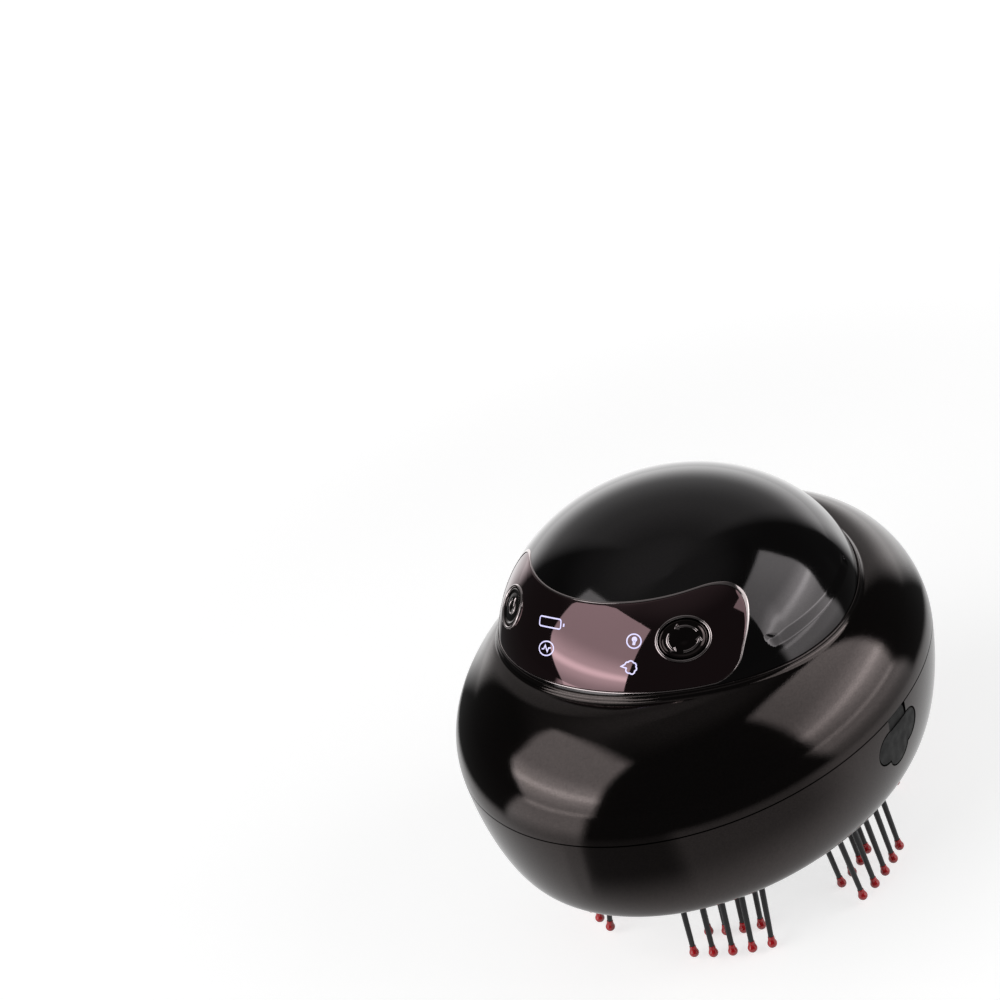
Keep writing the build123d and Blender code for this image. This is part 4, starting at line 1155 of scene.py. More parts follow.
battery_sign = [(rounded_box(0.16, 0.48), True)]
battery_nub = [([(0.0, -0.28), (0.0, 0.28)], False)]
pulse_line = [(-0.62, -0.05), (-0.34, -0.05), (-0.12, 0.46), (0.14, -0.46), (0.34, 0.06), (0.64, 0.06)]
pulse_sign = [(unit_circle, True), (pulse_line, False)]
lamp_sign = [(unit_circle, True), (arc(0.08, 0.26, 0.11, 0, 345, 12), True),
             (arc(0.08, 0.26, 0.29, -60, 240, 20), False),
             ([(-0.05, 0.0), (-0.12, -0.44), (0.08, -0.46), (0.18, 0.0)], False)]
puff_line = [
    (-1.34, 0.43), (-0.52, 0.76), (-0.30, 1.06), (-0.06, 1.18), (0.16, 1.14), (0.38, 1.32), (0.72, 1.36),
    (1.02, 1.22), (1.18, 0.98), (1.50, 0.86), (1.68, 0.50), (1.58, 0.18), (1.70, -0.10), (1.56, -0.42),
    (1.28, -0.56), (1.14, -0.90), (0.84, -1.12), (0.50, -1.10), (0.30, -0.90), (0.02, -0.92),
    (-0.30, -0.74), (-0.46, -0.44), (-0.38, -0.12), (-0.30, 0.06)]
puff_sign = [(puff_line, True)]

# %% [markdown]
# ### Placing the lit signs
# Each sign is drawn in a plane that touches the dome at the sign's azimuth and height, and every point
# is then moved along its own line from the dome's middle until it lies on the panel. The glow varies a
# little between blue and lavender, as light from a small lamp behind a mask does.


# %% Place the lit signs
lit_sink, lit_proud = 0.03 * MM, 0.02 * MM
box_width, sign_width, nub_width = 0.27 * MM, 0.25 * MM, 0.36 * MM


def make_glow(name, blue, lavender, strength, patch):
    material, tree, shader = new_material(name)
    place = add_node(tree, "ShaderNodeTexCoord").outputs["Object"]
    patches = add_node(tree, "ShaderNodeTexNoise", {"Vector": place, "Scale": 1 / patch, "Detail": 1.0})
    colour = add_shades(tree, patches.outputs["Fac"], blue, lavender)
    tree.links.new(colour, shader.inputs["Emission Color"])
    shader.inputs["Emission Strength"].default_value = strength
    shader.inputs["Base Color"].default_value = rgba(0.2, 0.2, 0.25)
    shader.inputs["Roughness"].default_value = 0.2
    return material


def on_panel(azimuth, z):
    place = dome_frame(azimuth, z)

    def lift(x, y, height):
        spot = place @ Vector((x, y, 0))
        up = max(spot.z - dome_centre_z, 0) / dome_rise
        share = 1 / hypot(hypot(spot.x, spot.y) / dome_radius, up)
        flat = Vector((spot.x * share, spot.y * share, dome_centre_z + (spot.z - dome_centre_z) * share))
        return flat + place.to_3x3() @ Vector((0, 0, height))
    return lift


def lit_strokes(azimuth, rise, outlines, width):
    """Strokes of one sign; rise is the height of its middle above the dome's centre, in millimetres."""
    lift = on_panel(azimuth, dome_centre_z + rise * MM)
    low, high = panel_proud - lit_sink, panel_proud + lit_proud
    return [stroke([(x * MM, y * MM) for x, y in points], width, lift, low, high, closed)
            for points, closed in outlines]


def slant(outlines, middle, side, up):
    """Lays outlines of unit size on two slanted half axes."""
    def lay(x, y):
        return middle[0] + side[0] * x + up[0] * y, middle[1] + side[1] * x + up[1] * y
    return [([lay(x, y) for x, y in points], closed) for points, closed in outlines]


def lit_sign_pieces():
    box = slant(battery_sign, middle=(-0.1, 0.05), side=(2.96, 0.40), up=(-0.30, 0.89))
    nub = slant(battery_nub, middle=(3.62, 0.50), side=(1, 0), up=(-0.30, 1.0))
    pulse = slant(pulse_sign, middle=(0.53, 0.37), side=(1.94, 0.53), up=(-0.37, 1.30))
    lamp = slant(lamp_sign, middle=(0.09, 0.18), side=(1.37, -0.11), up=(0.07, 1.31))
    return (lit_strokes(-12.0, 16.55, box, box_width) + lit_strokes(-12.0, 16.55, nub, nub_width)
            + lit_strokes(-11.6, 12.45, pulse, sign_width) + lit_strokes(23.5, 15.15, lamp, sign_width)
            + lit_strokes(21.0, 11.25, puff_sign, sign_width))


sign_glow = make_glow("sign_glow", (0.55, 0.52, 1.0), (0.85, 0.82, 1.0), strength=1.0, patch=1.5 * MM)
lit_signs = join("lit_signs", lit_sign_pieces())
settle(lit_signs, sign_glow, "main_body")

# %% [markdown]
# ## Rounded outlines
# Moulded parts have no knife edges: every corner of their section is a small arc. We list the corners
# with a radius for each, and this helper puts the arcs in. Turned about an axis, such a section gives a
# round part, as on a lathe; carried round an outline, it gives a raised border.


# %% Helpers for rounded sections
longest_share = 0.49


def rounded_line(corners, steps=5):
    """Closed outline in millimetres; each corner is x, y and its radius."""
    result = []
    for i, (x, y, radius) in enumerate(corners):
        here = Vector((x, y))
        before = Vector(corners[i - 1][:2]) - here
        after = Vector(corners[(i + 1) % len(corners)][:2]) - here
        if not radius:
            result.append(here)
            continue
        half = before.angle(after) / 2
        reach = min(radius / tan(half), longest_share * before.length, longest_share * after.length)
        before, after = before.normalized(), after.normalized()
        middle = here + (before + after).normalized() * reach / cos(half)
        start, end = here + before * reach - middle, here + after * reach - middle
        first = atan2(start.y, start.x)
        swing = (atan2(end.y, end.x) - first + pi) % (2 * pi) - pi
        turns = [first + swing * k / steps for k in range(steps + 1)]
        result += [middle + start.length * Vector((cos(turn), sin(turn))) for turn in turns]
    return result


def lathe(name, section, steps=96, ends=None):
    """Section of radius and height in millimetres, turned about the Z axis."""
    turns = full_turn(steps)
    rings = [[Vector((p[0] * cos(t), p[0] * sin(t), p[1])) * MM for t in turns] for p in section]
    return ring_skin(name, rings, ends)


def border(name, outline, section, place, ends=None):
    """Carries a section of (grow, z) in millimetres round an outline that can grow."""
    rings = [[place @ Vector((p[0], p[1], z)) * MM for p in outline(grow)] for grow, z in section]
    return ring_skin(name, rings, ends)


# %% [markdown]
# ## The comb's base
# The comb is one soft black moulding: a floor with a rim outside, a sleeve round the middle, six raised
# seats for the bristle pads and a low frame between each two. It could be cut from one block, but a
# turned profile with the seats laid over it is lighter and keeps every fillet smooth. Pads and frames
# are wedges, wider outside, and each is a function of how much it is grown.

# %% Outlines on the comb
pad_azimuths = [30 + 60 * i for i in range(6)]
pad_face, pad_seat = 22.5, 24.6
smallest_corner = 0.2


def wedge(inner, outer, inner_half, outer_half, corner):
    slope = (outer_half - inner_half) / (outer - inner)

    def outline(grow):
        near, far = inner_half + grow * (1 - slope), outer_half + grow * (1 + slope)
        radius = max(corner + grow, smallest_corner)
        return rounded_line([(-near, grow - inner, radius), (near, grow - inner, radius),
                             (far, -outer - grow, radius), (-far, -outer - grow, radius)], 8)
    return outline


pad_outline = wedge(inner=21.6, outer=34.9, inner_half=7.4, outer_half=10.6, corner=2.2)
frame_outline = wedge(inner=24.1, outer=33.8, inner_half=1.9, outer_half=4.4, corner=0.7)
print("points of a pad's outline:", len(pad_outline(0.0)))

# %% [markdown]
# ### Turning the comb
# The disc is a section on the lathe, with its corners rounded. Seats and frames are borders whose
# skirts end inside the disc's floor, so they seem to flow out of it and no edge is seen.


# %% Build the comb's base
def build_comb():
    disc = rounded_line([
        (18.65, 29.0, 0), (18.65, 25.0, 0.3), (20.6, 25.0, 0.45), (20.6, 26.0, 0.1), (21.4, 26.0, 0.35),
        (21.4, 27.0, 0.35), (36.2, 27.0, 0.9), (36.2, 24.4, 0.45), (37.2, 24.4, 0.2), (37.2, 25.1, 0.2),
        (37.9, 25.1, 0.2), (37.9, 24.4, 0.2), (39.5, 24.4, 0.4), (39.5, 26.0, 0), (40.2, 26.0, 0),
        (40.2, 28.0, 0), (36.2, 28.0, 0), (36.2, 29.0, 0)])
    seat = rounded_line([
        (2.5, 27.06, 0), (0.95, 26.98, 0.9), (0.88, 22.3, 0.42), (0.05, 22.3, 0.34), (0.05, pad_seat, 0),
        (-1.5, pad_seat, 0), (-1.5, 28.0, 0), (2.5, 28.0, 0)])
    low_frame = rounded_line([
        (0.45, 27.04, 0), (0.12, 26.97, 0.25), (0.0, 26.62, 0.15), (-0.45, 26.62, 0.15),
        (-0.6, 26.97, 0.2), (-0.9, 27.04, 0), (-0.9, 27.6, 0), (0.45, 27.6, 0)])
    pieces = [lathe("comb_disc", disc, steps=240)]
    for azimuth in pad_azimuths:
        pieces.append(border("seat", pad_outline, seat, around(0, azimuth)))
        pieces.append(border("frame", frame_outline, low_frame, around(0, azimuth + 30)))
    return join("comb_base", pieces)


comb_base = build_comb()
shade(comb_base, 40)
settle(comb_base, comb_rubber, "main_body", ["comb_plate"])

# %% [markdown]
# ### The six pads
# Each pad is a hard plastic plate that lies recessed in its seat. It has the seat's own outline and a
# small rounding along its edge, so it is a border too, closed by a flat face at both ends.

# %% Build the pads
pad_section = [(0.0, pad_seat), (0.0, pad_face + 0.3), (-0.05, pad_face + 0.14), (-0.16, pad_face + 0.04),
               (-0.32, pad_face)]
for index, azimuth in enumerate(pad_azimuths, start=1):
    pad = border(f"pad_{index}", pad_outline, pad_section, around(0, azimuth), flat_ends)
    shade(pad, 50)
    settle(pad, pad_plastic, "main_body", [f"comb_pad_{index}"])


# %% [markdown]
# ## Node trees that repeat a part
# Fifty-four bristles differ only in where they start and end, so each is described by one edge from
# foot to tip, and a node tree turns every edge into a slim tapered rod. A second tree puts a copy of a
# template on every point and turns it along a stored direction: it serves the bristle heads, the tubes
# of the applicator and their end rings. Both trees end in real geometry with a material, and the result
# is kept as a plain mesh.


# %% Helpers for geometry nodes
def new_tree(name, inputs):
    tree = bpy.data.node_groups.new(name, "GeometryNodeTree")
    tree.interface.new_socket("Geometry", in_out="INPUT", socket_type="NodeSocketGeometry")
    for label, kind in inputs:
        tree.interface.new_socket(label, in_out="INPUT", socket_type=kind)
    tree.interface.new_socket("Geometry", in_out="OUTPUT", socket_type="NodeSocketGeometry")
    return tree, add_node(tree, "NodeGroupInput").outputs


def finish_tree(tree, geometry, material):
    """Ends a tree in real geometry with a material."""
    real = add_node(tree, "GeometryNodeRealizeInstances", {"Geometry": geometry})
    finished = add_node(tree, "GeometryNodeSetMaterial", {
        "Geometry": real.outputs[0], "Material": material})
    add_node(tree, "NodeGroupOutput", {"Geometry": finished.outputs[0]})


def run_tree(piece, tree, **values):
    """Sets the tree's inputs, runs it once and keeps the result as a plain mesh."""
    modifier = piece.modifiers.new(tree.name, "NODES")
    modifier.node_group = tree
    for item in tree.interface.items_tree:
        label = item.name.replace(" ", "_").lower()
        if item.in_out == "INPUT" and label in values:
            modifier[item.identifier] = values[label]
    bake(piece)


# %% [markdown]
# ### The two trees
# The rod tree sweeps a circle along each edge and lets its radius run from foot to tip. The copy tree
# reads the template's mesh and the direction stored on each point. The template is an input of the
# tree, so that one tree serves every template.


# %% Build the two trees
def make_rod_tree():
    tree, given = new_tree("rods_on_edges", [
        ("Foot Radius", "NodeSocketFloat"), ("Tip Radius", "NodeSocketFloat"), ("Sides", "NodeSocketInt"),
        ("Finish", "NodeSocketMaterial")])
    lines = add_node(tree, "GeometryNodeMeshToCurve", {"Mesh": given["Geometry"]})
    dense = add_node(tree, "GeometryNodeResampleCurve", {"Curve": lines.outputs[0], "Count": 9})
    along = add_node(tree, "GeometryNodeSplineParameter")
    radius = add_node(tree, "ShaderNodeMapRange", {
        "Value": along.outputs["Factor"], "To Min": given["Foot Radius"], "To Max": given["Tip Radius"]})
    circle_line = add_node(tree, "GeometryNodeCurvePrimitiveCircle", {
        "Resolution": given["Sides"], "Radius": 1.0})
    rods = add_node(tree, "GeometryNodeCurveToMesh", {
        "Curve": dense.outputs[0], "Profile Curve": circle_line.outputs[0], "Scale": radius.outputs[0],
        "Fill Caps": True})
    finish_tree(tree, rods.outputs[0], given["Finish"])
    return tree


def make_copy_tree():
    tree, given = new_tree("copies_on_points", [
        ("Template", "NodeSocketObject"), ("Finish", "NodeSocketMaterial")])
    template = add_node(tree, "GeometryNodeObjectInfo", {"Object": given["Template"]})
    direction = add_node(tree, "GeometryNodeInputNamedAttribute", {"Name": "direction"},
                         data_type="FLOAT_VECTOR")
    turn = add_node(tree, "FunctionNodeAlignRotationToVector", {"Vector": direction.outputs[0]}, axis="Z")
    copies_made = add_node(tree, "GeometryNodeInstanceOnPoints", {
        "Points": given["Geometry"], "Instance": template.outputs["Geometry"],
        "Rotation": turn.outputs[0]})
    finish_tree(tree, copies_made.outputs[0], given["Finish"])
    return tree


rod_tree, copy_tree = make_rod_tree(), make_copy_tree()


def copies(name, template, places, finish):
    """places are pairs of a point and the direction that the template's Z axis takes there."""
    piece = new_piece(name, [point for point, _ in places], [])
    stored = piece.data.attributes.new("direction", "FLOAT_VECTOR", "POINT")
    stored.data.foreach_set("vector", [value for _, way in places for value in way])
    run_tree(piece, copy_tree, template=template, finish=finish)
    bpy.data.objects.remove(template)
    point_outwards(piece)
    shade(piece, 40)
    return piece


print("node trees:", [tree.name for tree in bpy.data.node_groups])

# %% [markdown]
# ## The lines of the bristles
# Each pad carries two rows: five bristles outside and four inside, all leaning outwards. A row stands
# on a circle at its feet and spreads to a wider one at its tips, and the tips stand closer together
# along the row than the feet do.


# %% Lines of the bristles
def bristle_row(count, foot_radius, foot_pitch, tip_radius, tip_pitch, tip_z):
    for i in range(count):
        step = i - (count - 1) / 2
        foot_x, tip_x = step * foot_pitch, step * tip_pitch
        yield (Vector((foot_x, -sqrt(foot_radius ** 2 - foot_x ** 2), pad_face)) * MM,
               Vector((tip_x, -sqrt(tip_radius ** 2 - tip_x ** 2), tip_z)) * MM)


outer_row = bristle_row(5, foot_radius=33.2, foot_pitch=4.3, tip_radius=36.6, tip_pitch=4.05, tip_z=1.9)
inner_row = bristle_row(4, foot_radius=25.8, foot_pitch=3.9, tip_radius=29.6, tip_pitch=3.7, tip_z=1.1)
pad_lines = [*outer_row, *inner_row]
bristle_lines = [(around(0, azimuth) @ foot, around(0, azimuth) @ tip)
                 for azimuth in pad_azimuths for foot, tip in pad_lines]
print("bristles:", len(bristle_lines))

# %% [markdown]
# ### The bristles
# The foot of each bristle is set a little way into its pad, as it is moulded there, so that no gap
# shows where it leans. The rod tapers slightly towards its tip.

# %% Grow the bristles
foot_depth = 1.3 * MM


def build_bristles():
    points = [point for foot, tip in bristle_lines
              for point in (foot + (foot - tip).normalized() * foot_depth, tip)]
    mesh = bpy.data.meshes.new("bristle_rods")
    edges = [(2 * i, 2 * i + 1) for i in range(len(bristle_lines))]
    mesh.from_pydata([tuple(p) for p in points], edges, [])
    piece = bpy.data.objects.new("bristle_rods", mesh)
    scene.collection.objects.link(piece)
    run_tree(piece, rod_tree, foot_radius=0.68 * MM, tip_radius=0.55 * MM, sides=20, finish=bristle_nylon)
    point_outwards(piece)
    shade(piece, 50)
    return piece


bristle_rods = build_bristles()
settle(bristle_rods, bristle_nylon, "main_body", [f"bristles_{i}" for i in range(1, 7)])

# %% [markdown]
# ### The red heads
# A bristle ends in a red glossy bead, drawn down over the bristle like the head of a match. The head is
# turned once on the lathe, a ball with a short sleeve, and the copy tree puts it on every tip, turned
# along its own bristle.

# %% Heads of the bristles
head_radius = 1.02
head_section = [(head_radius * sin(radians(t)), -head_radius * cos(radians(t))) for t in range(4, 118, 6)]
head_section += [(0.80, 0.72), (0.72, 1.05), (0.68, 1.42), (0.66, 1.58), (0.60, 1.64), (0.50, 1.65)]
head_places = [(tip, (foot - tip).normalized()) for foot, tip in bristle_lines]
bristle_heads = copies("bristle_heads", lathe("head", head_section, 28, flat_ends), head_places, tip_red)
settle(bristle_heads, tip_red, "main_body", [f"bristle_tips_{i}" for i in range(1, 7)])

# %% [markdown]
# ## The applicator
# A charcoal cup slides in the middle of the comb. Liquid runs through four tubes, each closed by a
# steel ball that is held in a bright ring and rolls on the scalp. The cup is a turned part: its section
# starts and ends near the axis, where a flat face closes it above and below. A fine groove near its
# foot is part of the section.

# %% Cup of the applicator
cup_section = rounded_line([
    (1.0, 13.5, 0), (16.55, 13.5, 0.12), (16.6, 13.58, 0.05), (16.75, 13.5, 0.05), (17.3, 13.5, 0.5),
    (17.3, 15.2, 0.12), (17.2, 15.3, 0.06), (17.3, 15.4, 0.12), (17.3, 30.5, 0.3), (15.5, 30.5, 0.2),
    (15.5, 15.3, 0.5), (1.0, 15.3, 0)])
cup = lathe("cup", cup_section, 160, flat_ends)
shade(cup, 40)
settle(cup, cup_charcoal, "applicator", ["applicator_cup"])

# %% [markdown]
# ### Tubes, end rings and balls
# Tube and ring are turned once and repeated by the copy tree, because the four of them move as one with
# the cup. The balls are made one by one, because each turns in its own ring, as a body of its own.

# %% Tubes, rings and balls
ball_pitch_half, ball_radius, ball_z = 6.45, 1.75, 2.05
ball_places = [Vector((x, y, 0)) * MM for y in (-ball_pitch_half, ball_pitch_half)
               for x in (-ball_pitch_half, ball_pitch_half)]
upright_copies = [(place, (0.0, 0.0, 1.0)) for place in ball_places]
tube_section = rounded_line([
    (1.25, 1.75, 0), (2.03, 1.75, 0.1), (2.05, 12.6, 0.3), (2.5, 12.95, 0.25), (2.62, 13.56, 0),
    (1.25, 13.56, 0)])
tubes = copies("tubes", lathe("tube", tube_section, 48), upright_copies, tube_black)
settle(tubes, tube_black, "applicator", ["applicator_tubes"])
ring_section = rounded_line([
    (1.35, 1.74, 0.05), (2.05, 1.74, 0.06), (2.05, 1.34, 0.12), (1.78, 1.2, 0.1), (1.42, 1.2, 0.1)])
end_rings = copies("end_rings", lathe("end_ring", ring_section, 48), upright_copies, polished_steel)
settle(end_rings, polished_steel, "applicator", ["ball_retainers"])
ball_section = [(ball_radius * sin(radians(t)), ball_z - ball_radius * cos(radians(t)))
                for t in range(3, 180, 6)]
for index, place in enumerate(ball_places, start=1):
    ball = lathe(f"ball_{index}", ball_section, 64, flat_ends)
    ball.data.transform(Matrix.Translation(place))
    shade(ball, 60)
    settle(ball, polished_steel, f"roller_ball_{index}", [f"roller_ball_{index}"])


# %% [markdown]
# ## Light windows
# Four windows glow orange in the flat ring. The lamp sits nearer to one end of each, so that part is
# yellow-hot and the rest is red-orange. The glow's colour is read from a ramp along a map that starts
# at the lamp, and a little noise keeps its steps from being too even.

# %% Glow of the windows
glow_stops = [(0.0, (1.0, 0.90, 0.42)), (0.10, (1.0, 0.66, 0.10)), (0.22, (1.0, 0.20, 0.030)),
              (0.50, (0.86, 0.085, 0.022)), (1.0, (0.68, 0.050, 0.020))]
glow_grain, glow_noise, glow_strength = 1.2 * MM, 0.10, 0.9


def make_window_glow():
    material, tree, shader = new_material("window_glow")
    place = add_node(tree, "ShaderNodeUVMap", uv_map="from_lamp").outputs["UV"]
    reach = add_node(tree, "ShaderNodeVectorMath", {0: place}, operation="LENGTH").outputs["Value"]
    grains = add_node(tree, "ShaderNodeTexNoise", {
        "Vector": add_node(tree, "ShaderNodeTexCoord").outputs["Object"], "Scale": 1 / glow_grain})
    noise = add_math(tree, "MULTIPLY", grains.outputs["Fac"], glow_noise)
    ramp = add_node(tree, "ShaderNodeValToRGB", {"Fac": add_math(tree, "ADD", reach, noise)})
    while len(ramp.color_ramp.elements) < len(glow_stops):
        ramp.color_ramp.elements.new(0.5)
    for element, (spot, colour) in zip(ramp.color_ramp.elements, glow_stops):
        element.position, element.color = spot, rgba(*colour)
    tree.links.new(ramp.outputs["Color"], shader.inputs["Base Color"])
    tree.links.new(ramp.outputs["Color"], shader.inputs["Emission Color"])
    shader.inputs["Emission Strength"].default_value = glow_strength
    shader.inputs["Roughness"].default_value = 0.18
    return material


window_glow = make_window_glow()

# %% [markdown]
# ### Lenses and their rims
# A lens is a capsule with a rounded edge, laid just above the flat ring's face, and a black rim frames
# it. Both are borders of one outline. Each lens gets its map here: the lamp is the origin, and the two
# directions are divided by how far the light reaches along and across.

# %% Lenses and rims
lens_section = [(-0.27, 25.0), (-0.27, 24.22), (-0.33, 24.12), (-0.5, 24.08)]
lens_section += [(-0.65 - 0.18 * i, 24.07) for i in range(4)]
rim_section = rounded_line([
    (-0.24, 24.9, 0), (-0.24, 24.0, 0.06), (-0.12, 23.95, 0.05), (0.0, 24.0, 0.06), (0.0, 24.9, 0)])
lamp_x, lamp_reach_x, lamp_reach_y = 2.2, 8.5, 5.5


def window_outline(grow):
    return [Vector(p) / MM for p in capsule(window_length + 2 * grow * MM, window_width + 2 * grow * MM)]


def at_windows(name, section, ends=None):
    """The same border at each of the four windows, as one piece."""
    return join(name, [border(name, window_outline, section, around(window_radius / MM, azimuth), ends)
                       for azimuth in window_azimuths])


def map_lenses(piece):
    layer = piece.data.uv_layers.new(name="from_lamp")
    for face in piece.data.polygons:
        turn = degrees(atan2(face.center.x, -face.center.y))
        nearest = min(window_azimuths, key=lambda azimuth: abs((azimuth - turn + 180) % 360 - 180))
        back = around(window_radius, nearest).inverted()
        outwards = 1 if nearest in (window_azimuth, 180 + window_azimuth) else -1
        for corner in face.loop_indices:
            spot = back @ piece.data.vertices[piece.data.loops[corner].vertex_index].co / MM
            layer.data[corner].uv = ((outwards * spot.x - lamp_x) / lamp_reach_x, spot.y / lamp_reach_y)


window_lenses = at_windows("window_lenses", lens_section, flat_ends)
map_lenses(window_lenses)
shade(window_lenses, 50)
settle(window_lenses, window_glow, "main_body", ["light_windows"])
window_rims = at_windows("window_rims", rim_section)
shade(window_rims, 50)
settle(window_rims, rim_black, "main_body", ["light_bezels"])

# %% [markdown]
# ## Screw covers
# Two matte caps hide the screws that hold the casings together. Each is a flat disc with a rounded
# edge and a face that bulges by a few hundredths of a millimetre, which keeps its reflection soft.

# %% Build the screw covers
cover_section = [(2.9, 25.2), (2.9, 24.16), (2.86, 24.08), (2.76, 24.04), (2.6, 24.03), (1.2, 23.99),
                 (0.05, 23.98)]
covers = []
for side in (-1, 1):
    cover = lathe("cover", cover_section, 64, flat_ends)
    cover.data.transform(Matrix.Translation((0, side * cover_y, 0)))
    covers.append(cover)
screw_caps = join("screw_caps", covers)
shade(screw_caps, 40)
settle(screw_caps, cover_grey, "main_body", ["screw_covers"])


# %% [markdown]
# ## Tools for light and place
# Brightness here depends on where a ray comes from, on its azimuth, and on a distance or a height. A
# ramp is a soft step between two values. A sector is bright near one azimuth and fades beside it. A
# patch is a sector that also changes along a ramp.

# %% Helpers for light and place
left_azimuth, right_azimuth, back_azimuth = -28, 116, -145


def add_ramp(tree, value, start, end, low, high):
    return add_node(tree, "ShaderNodeMapRange", {
        "Value": value, "From Min": start, "From Max": end, "To Min": low, "To Max": high},
        interpolation_type="SMOOTHSTEP").outputs[0]


def add_rays(tree):
    """Whether a ray comes from the camera, and whether from a mirror or through glass."""
    path = add_node(tree, "ShaderNodeLightPath").outputs
    mirrored = add_math(tree, "MAXIMUM", path["Is Glossy Ray"], path["Is Transmission Ray"])
    return path["Is Camera Ray"], mirrored


def add_compass(tree, vector):
    """Flat direction of a vector, for asking how near it is to an azimuth; its height; its flat part."""
    split = add_node(tree, "ShaderNodeSeparateXYZ", {"Vector": vector})
    flat = add_node(tree, "ShaderNodeCombineXYZ", {"X": split.outputs["X"], "Y": split.outputs["Y"]})
    way = add_node(tree, "ShaderNodeVectorMath", {0: flat.outputs[0]}, operation="NORMALIZE")
    return way.outputs["Vector"], split.outputs["Z"], flat.outputs[0]


def add_sector(tree, way, azimuth, half, soft, strength):
    """strength inside half degrees of an azimuth, falling to 0 over soft degrees more."""
    turn = radians(azimuth)
    near = add_node(tree, "ShaderNodeVectorMath", {0: way}, operation="DOT_PRODUCT")
    near.inputs[1].default_value = (sin(turn), -cos(turn), 0.0)
    outer, inner = cos(radians(half + soft)), cos(radians(half))
    return add_ramp(tree, near.outputs["Value"], outer, inner, 0.0, strength)


def add_patch(tree, way, value, sector, ramp):
    """A sector times a ramp of a value; both are tuples in the order of their helpers."""
    return add_math(tree, "MULTIPLY", add_sector(tree, way, *sector), add_ramp(tree, value, *ramp))


def add_greatest(tree, first, *others):
    for other in others:
        first = add_math(tree, "MAXIMUM", first, other)
    return first


# %% [markdown]
# ## The floor
# A plain pale floor carries the shadow. Through the Light Path node the camera sees it as white, with
# the shadow left in it. Mirror-like surfaces see no diffuse colour on it, only light painted into its
# glow:
# a bright table under the object with a painted shadow in front, dark beyond its edge, and painted pools
# of light below the lamps and the backdrop.
# Distances are in metres from the object's axis.

# %% Floor
floor_half, floor_grey, dimmest = 3.0, 0.6, 0.05
# Painted bright table under the object, seen only in mirrors, falling to nothing beyond its edge.
painted_table_ramp = (0.12, 0.17, 0.72, 0.0)
# Painted shadow in front of the object: sectors, then the ramp of distance where it begins.
shade_sectors = (12, 12, 16, 0.85), (42, 28, 30, 0.55)
shade_ramp = (0.055, 0.085, 0, 1)
# Painted pools of light on the floor below the backdrop and the two lamps, seen only in mirrors.
painted_light_pools = [((back_azimuth, 32, 14, 1.4), (0.10, 0.3, 0.6, 1)),
                 ((left_azimuth + 3, 17, 5, 1.45), (0.10, 0.22, 0.4, 1)),
                 ((right_azimuth, 20, 6, 1.25), (0.13, 0.32, 0.4, 1))]
seen_ramp = (0.2, 0.55, 0.70, 1.0)


def make_floor():
    material, tree, shader = new_material("pale_floor")
    seen, mirrored = add_rays(tree)
    way, _, flat = add_compass(tree, add_node(tree, "ShaderNodeTexCoord").outputs["Object"])
    away = add_node(tree, "ShaderNodeVectorMath", {0: flat}, operation="LENGTH").outputs["Value"]
    # Painted shadow in front of the object, taken out of the painted table's glow.
    deepest = add_greatest(tree, *[add_sector(tree, way, *sector) for sector in shade_sectors])
    shaded = add_math(tree, "MULTIPLY", deepest, add_ramp(tree, away, *shade_ramp))
    unshaded = add_math(tree, "SUBTRACT", 1.0, shaded)
    painted_table_glow = add_math(tree, "MULTIPLY", add_ramp(tree, away, *painted_table_ramp), unshaded)
    # Painted pools of light below the lamps and the backdrop.
    patches = [add_patch(tree, way, away, sector, ramp) for sector, ramp in painted_light_pools]
    # All painted light that mirror rays see on the floor.
    painted_mirror_glow = add_greatest(tree, painted_table_glow, dimmest, *patches)
    seen_lift = add_math(tree, "MULTIPLY", seen, add_ramp(tree, away, *seen_ramp))
    lift = add_math(tree, "ADD", seen_lift, add_math(tree, "MULTIPLY", mirrored, painted_mirror_glow))
    grey = add_math(tree, "MULTIPLY", add_math(tree, "SUBTRACT", 1.0, mirrored), floor_grey)
    colour = add_node(tree, "ShaderNodeCombineColor", {"Red": grey, "Green": grey, "Blue": grey})
    tree.links.new(colour.outputs[0], shader.inputs["Base Color"])
    tree.links.new(lift, shader.inputs["Emission Strength"])
    shader.inputs["Emission Color"].default_value = rgba(1, 1, 1)
    shader.inputs["Roughness"].default_value = 0.9
    shader.inputs["Specular IOR Level"].default_value = 0.0
    return material


floor_corners = [(x * floor_half, y * floor_half, 0) for x, y in ((-1, -1), (1, -1), (1, 1), (-1, 1))]
floor = new_piece("floor", floor_corners, [(0, 1, 2, 3)])
floor.data.materials.append(make_floor())

# %% [markdown]
# ## The soft boxes
# Two large soft boxes stand left and right of the camera. Each is brighter in a band across its face,
# where its tube is, and the right one fades from one side to the other. The left one is cut off at a
# slant below, which gives its reflection in the display the shape that it has. Parametric coordinates
# run from 0 to 1 over the lamp's face, so each of these is a ramp over one or both of them.

# %% Lamps
halo_band, halo_share = (0.18, 0.38, 0.62), 0.5
core_band, core_share = (0.32, 0.38, 0.44), 0.6
slant_low, slant_high, slant_edge = 0.10, 0.55, 0.02


def add_band(tree, value, low, middle, high, strength):
    """strength at the middle, falling softly to 0 at low and high."""
    return add_math(tree, "MULTIPLY", add_ramp(tree, value, low, middle, 0.0, strength),
                    add_ramp(tree, value, middle, high, 1.0, 0.0))


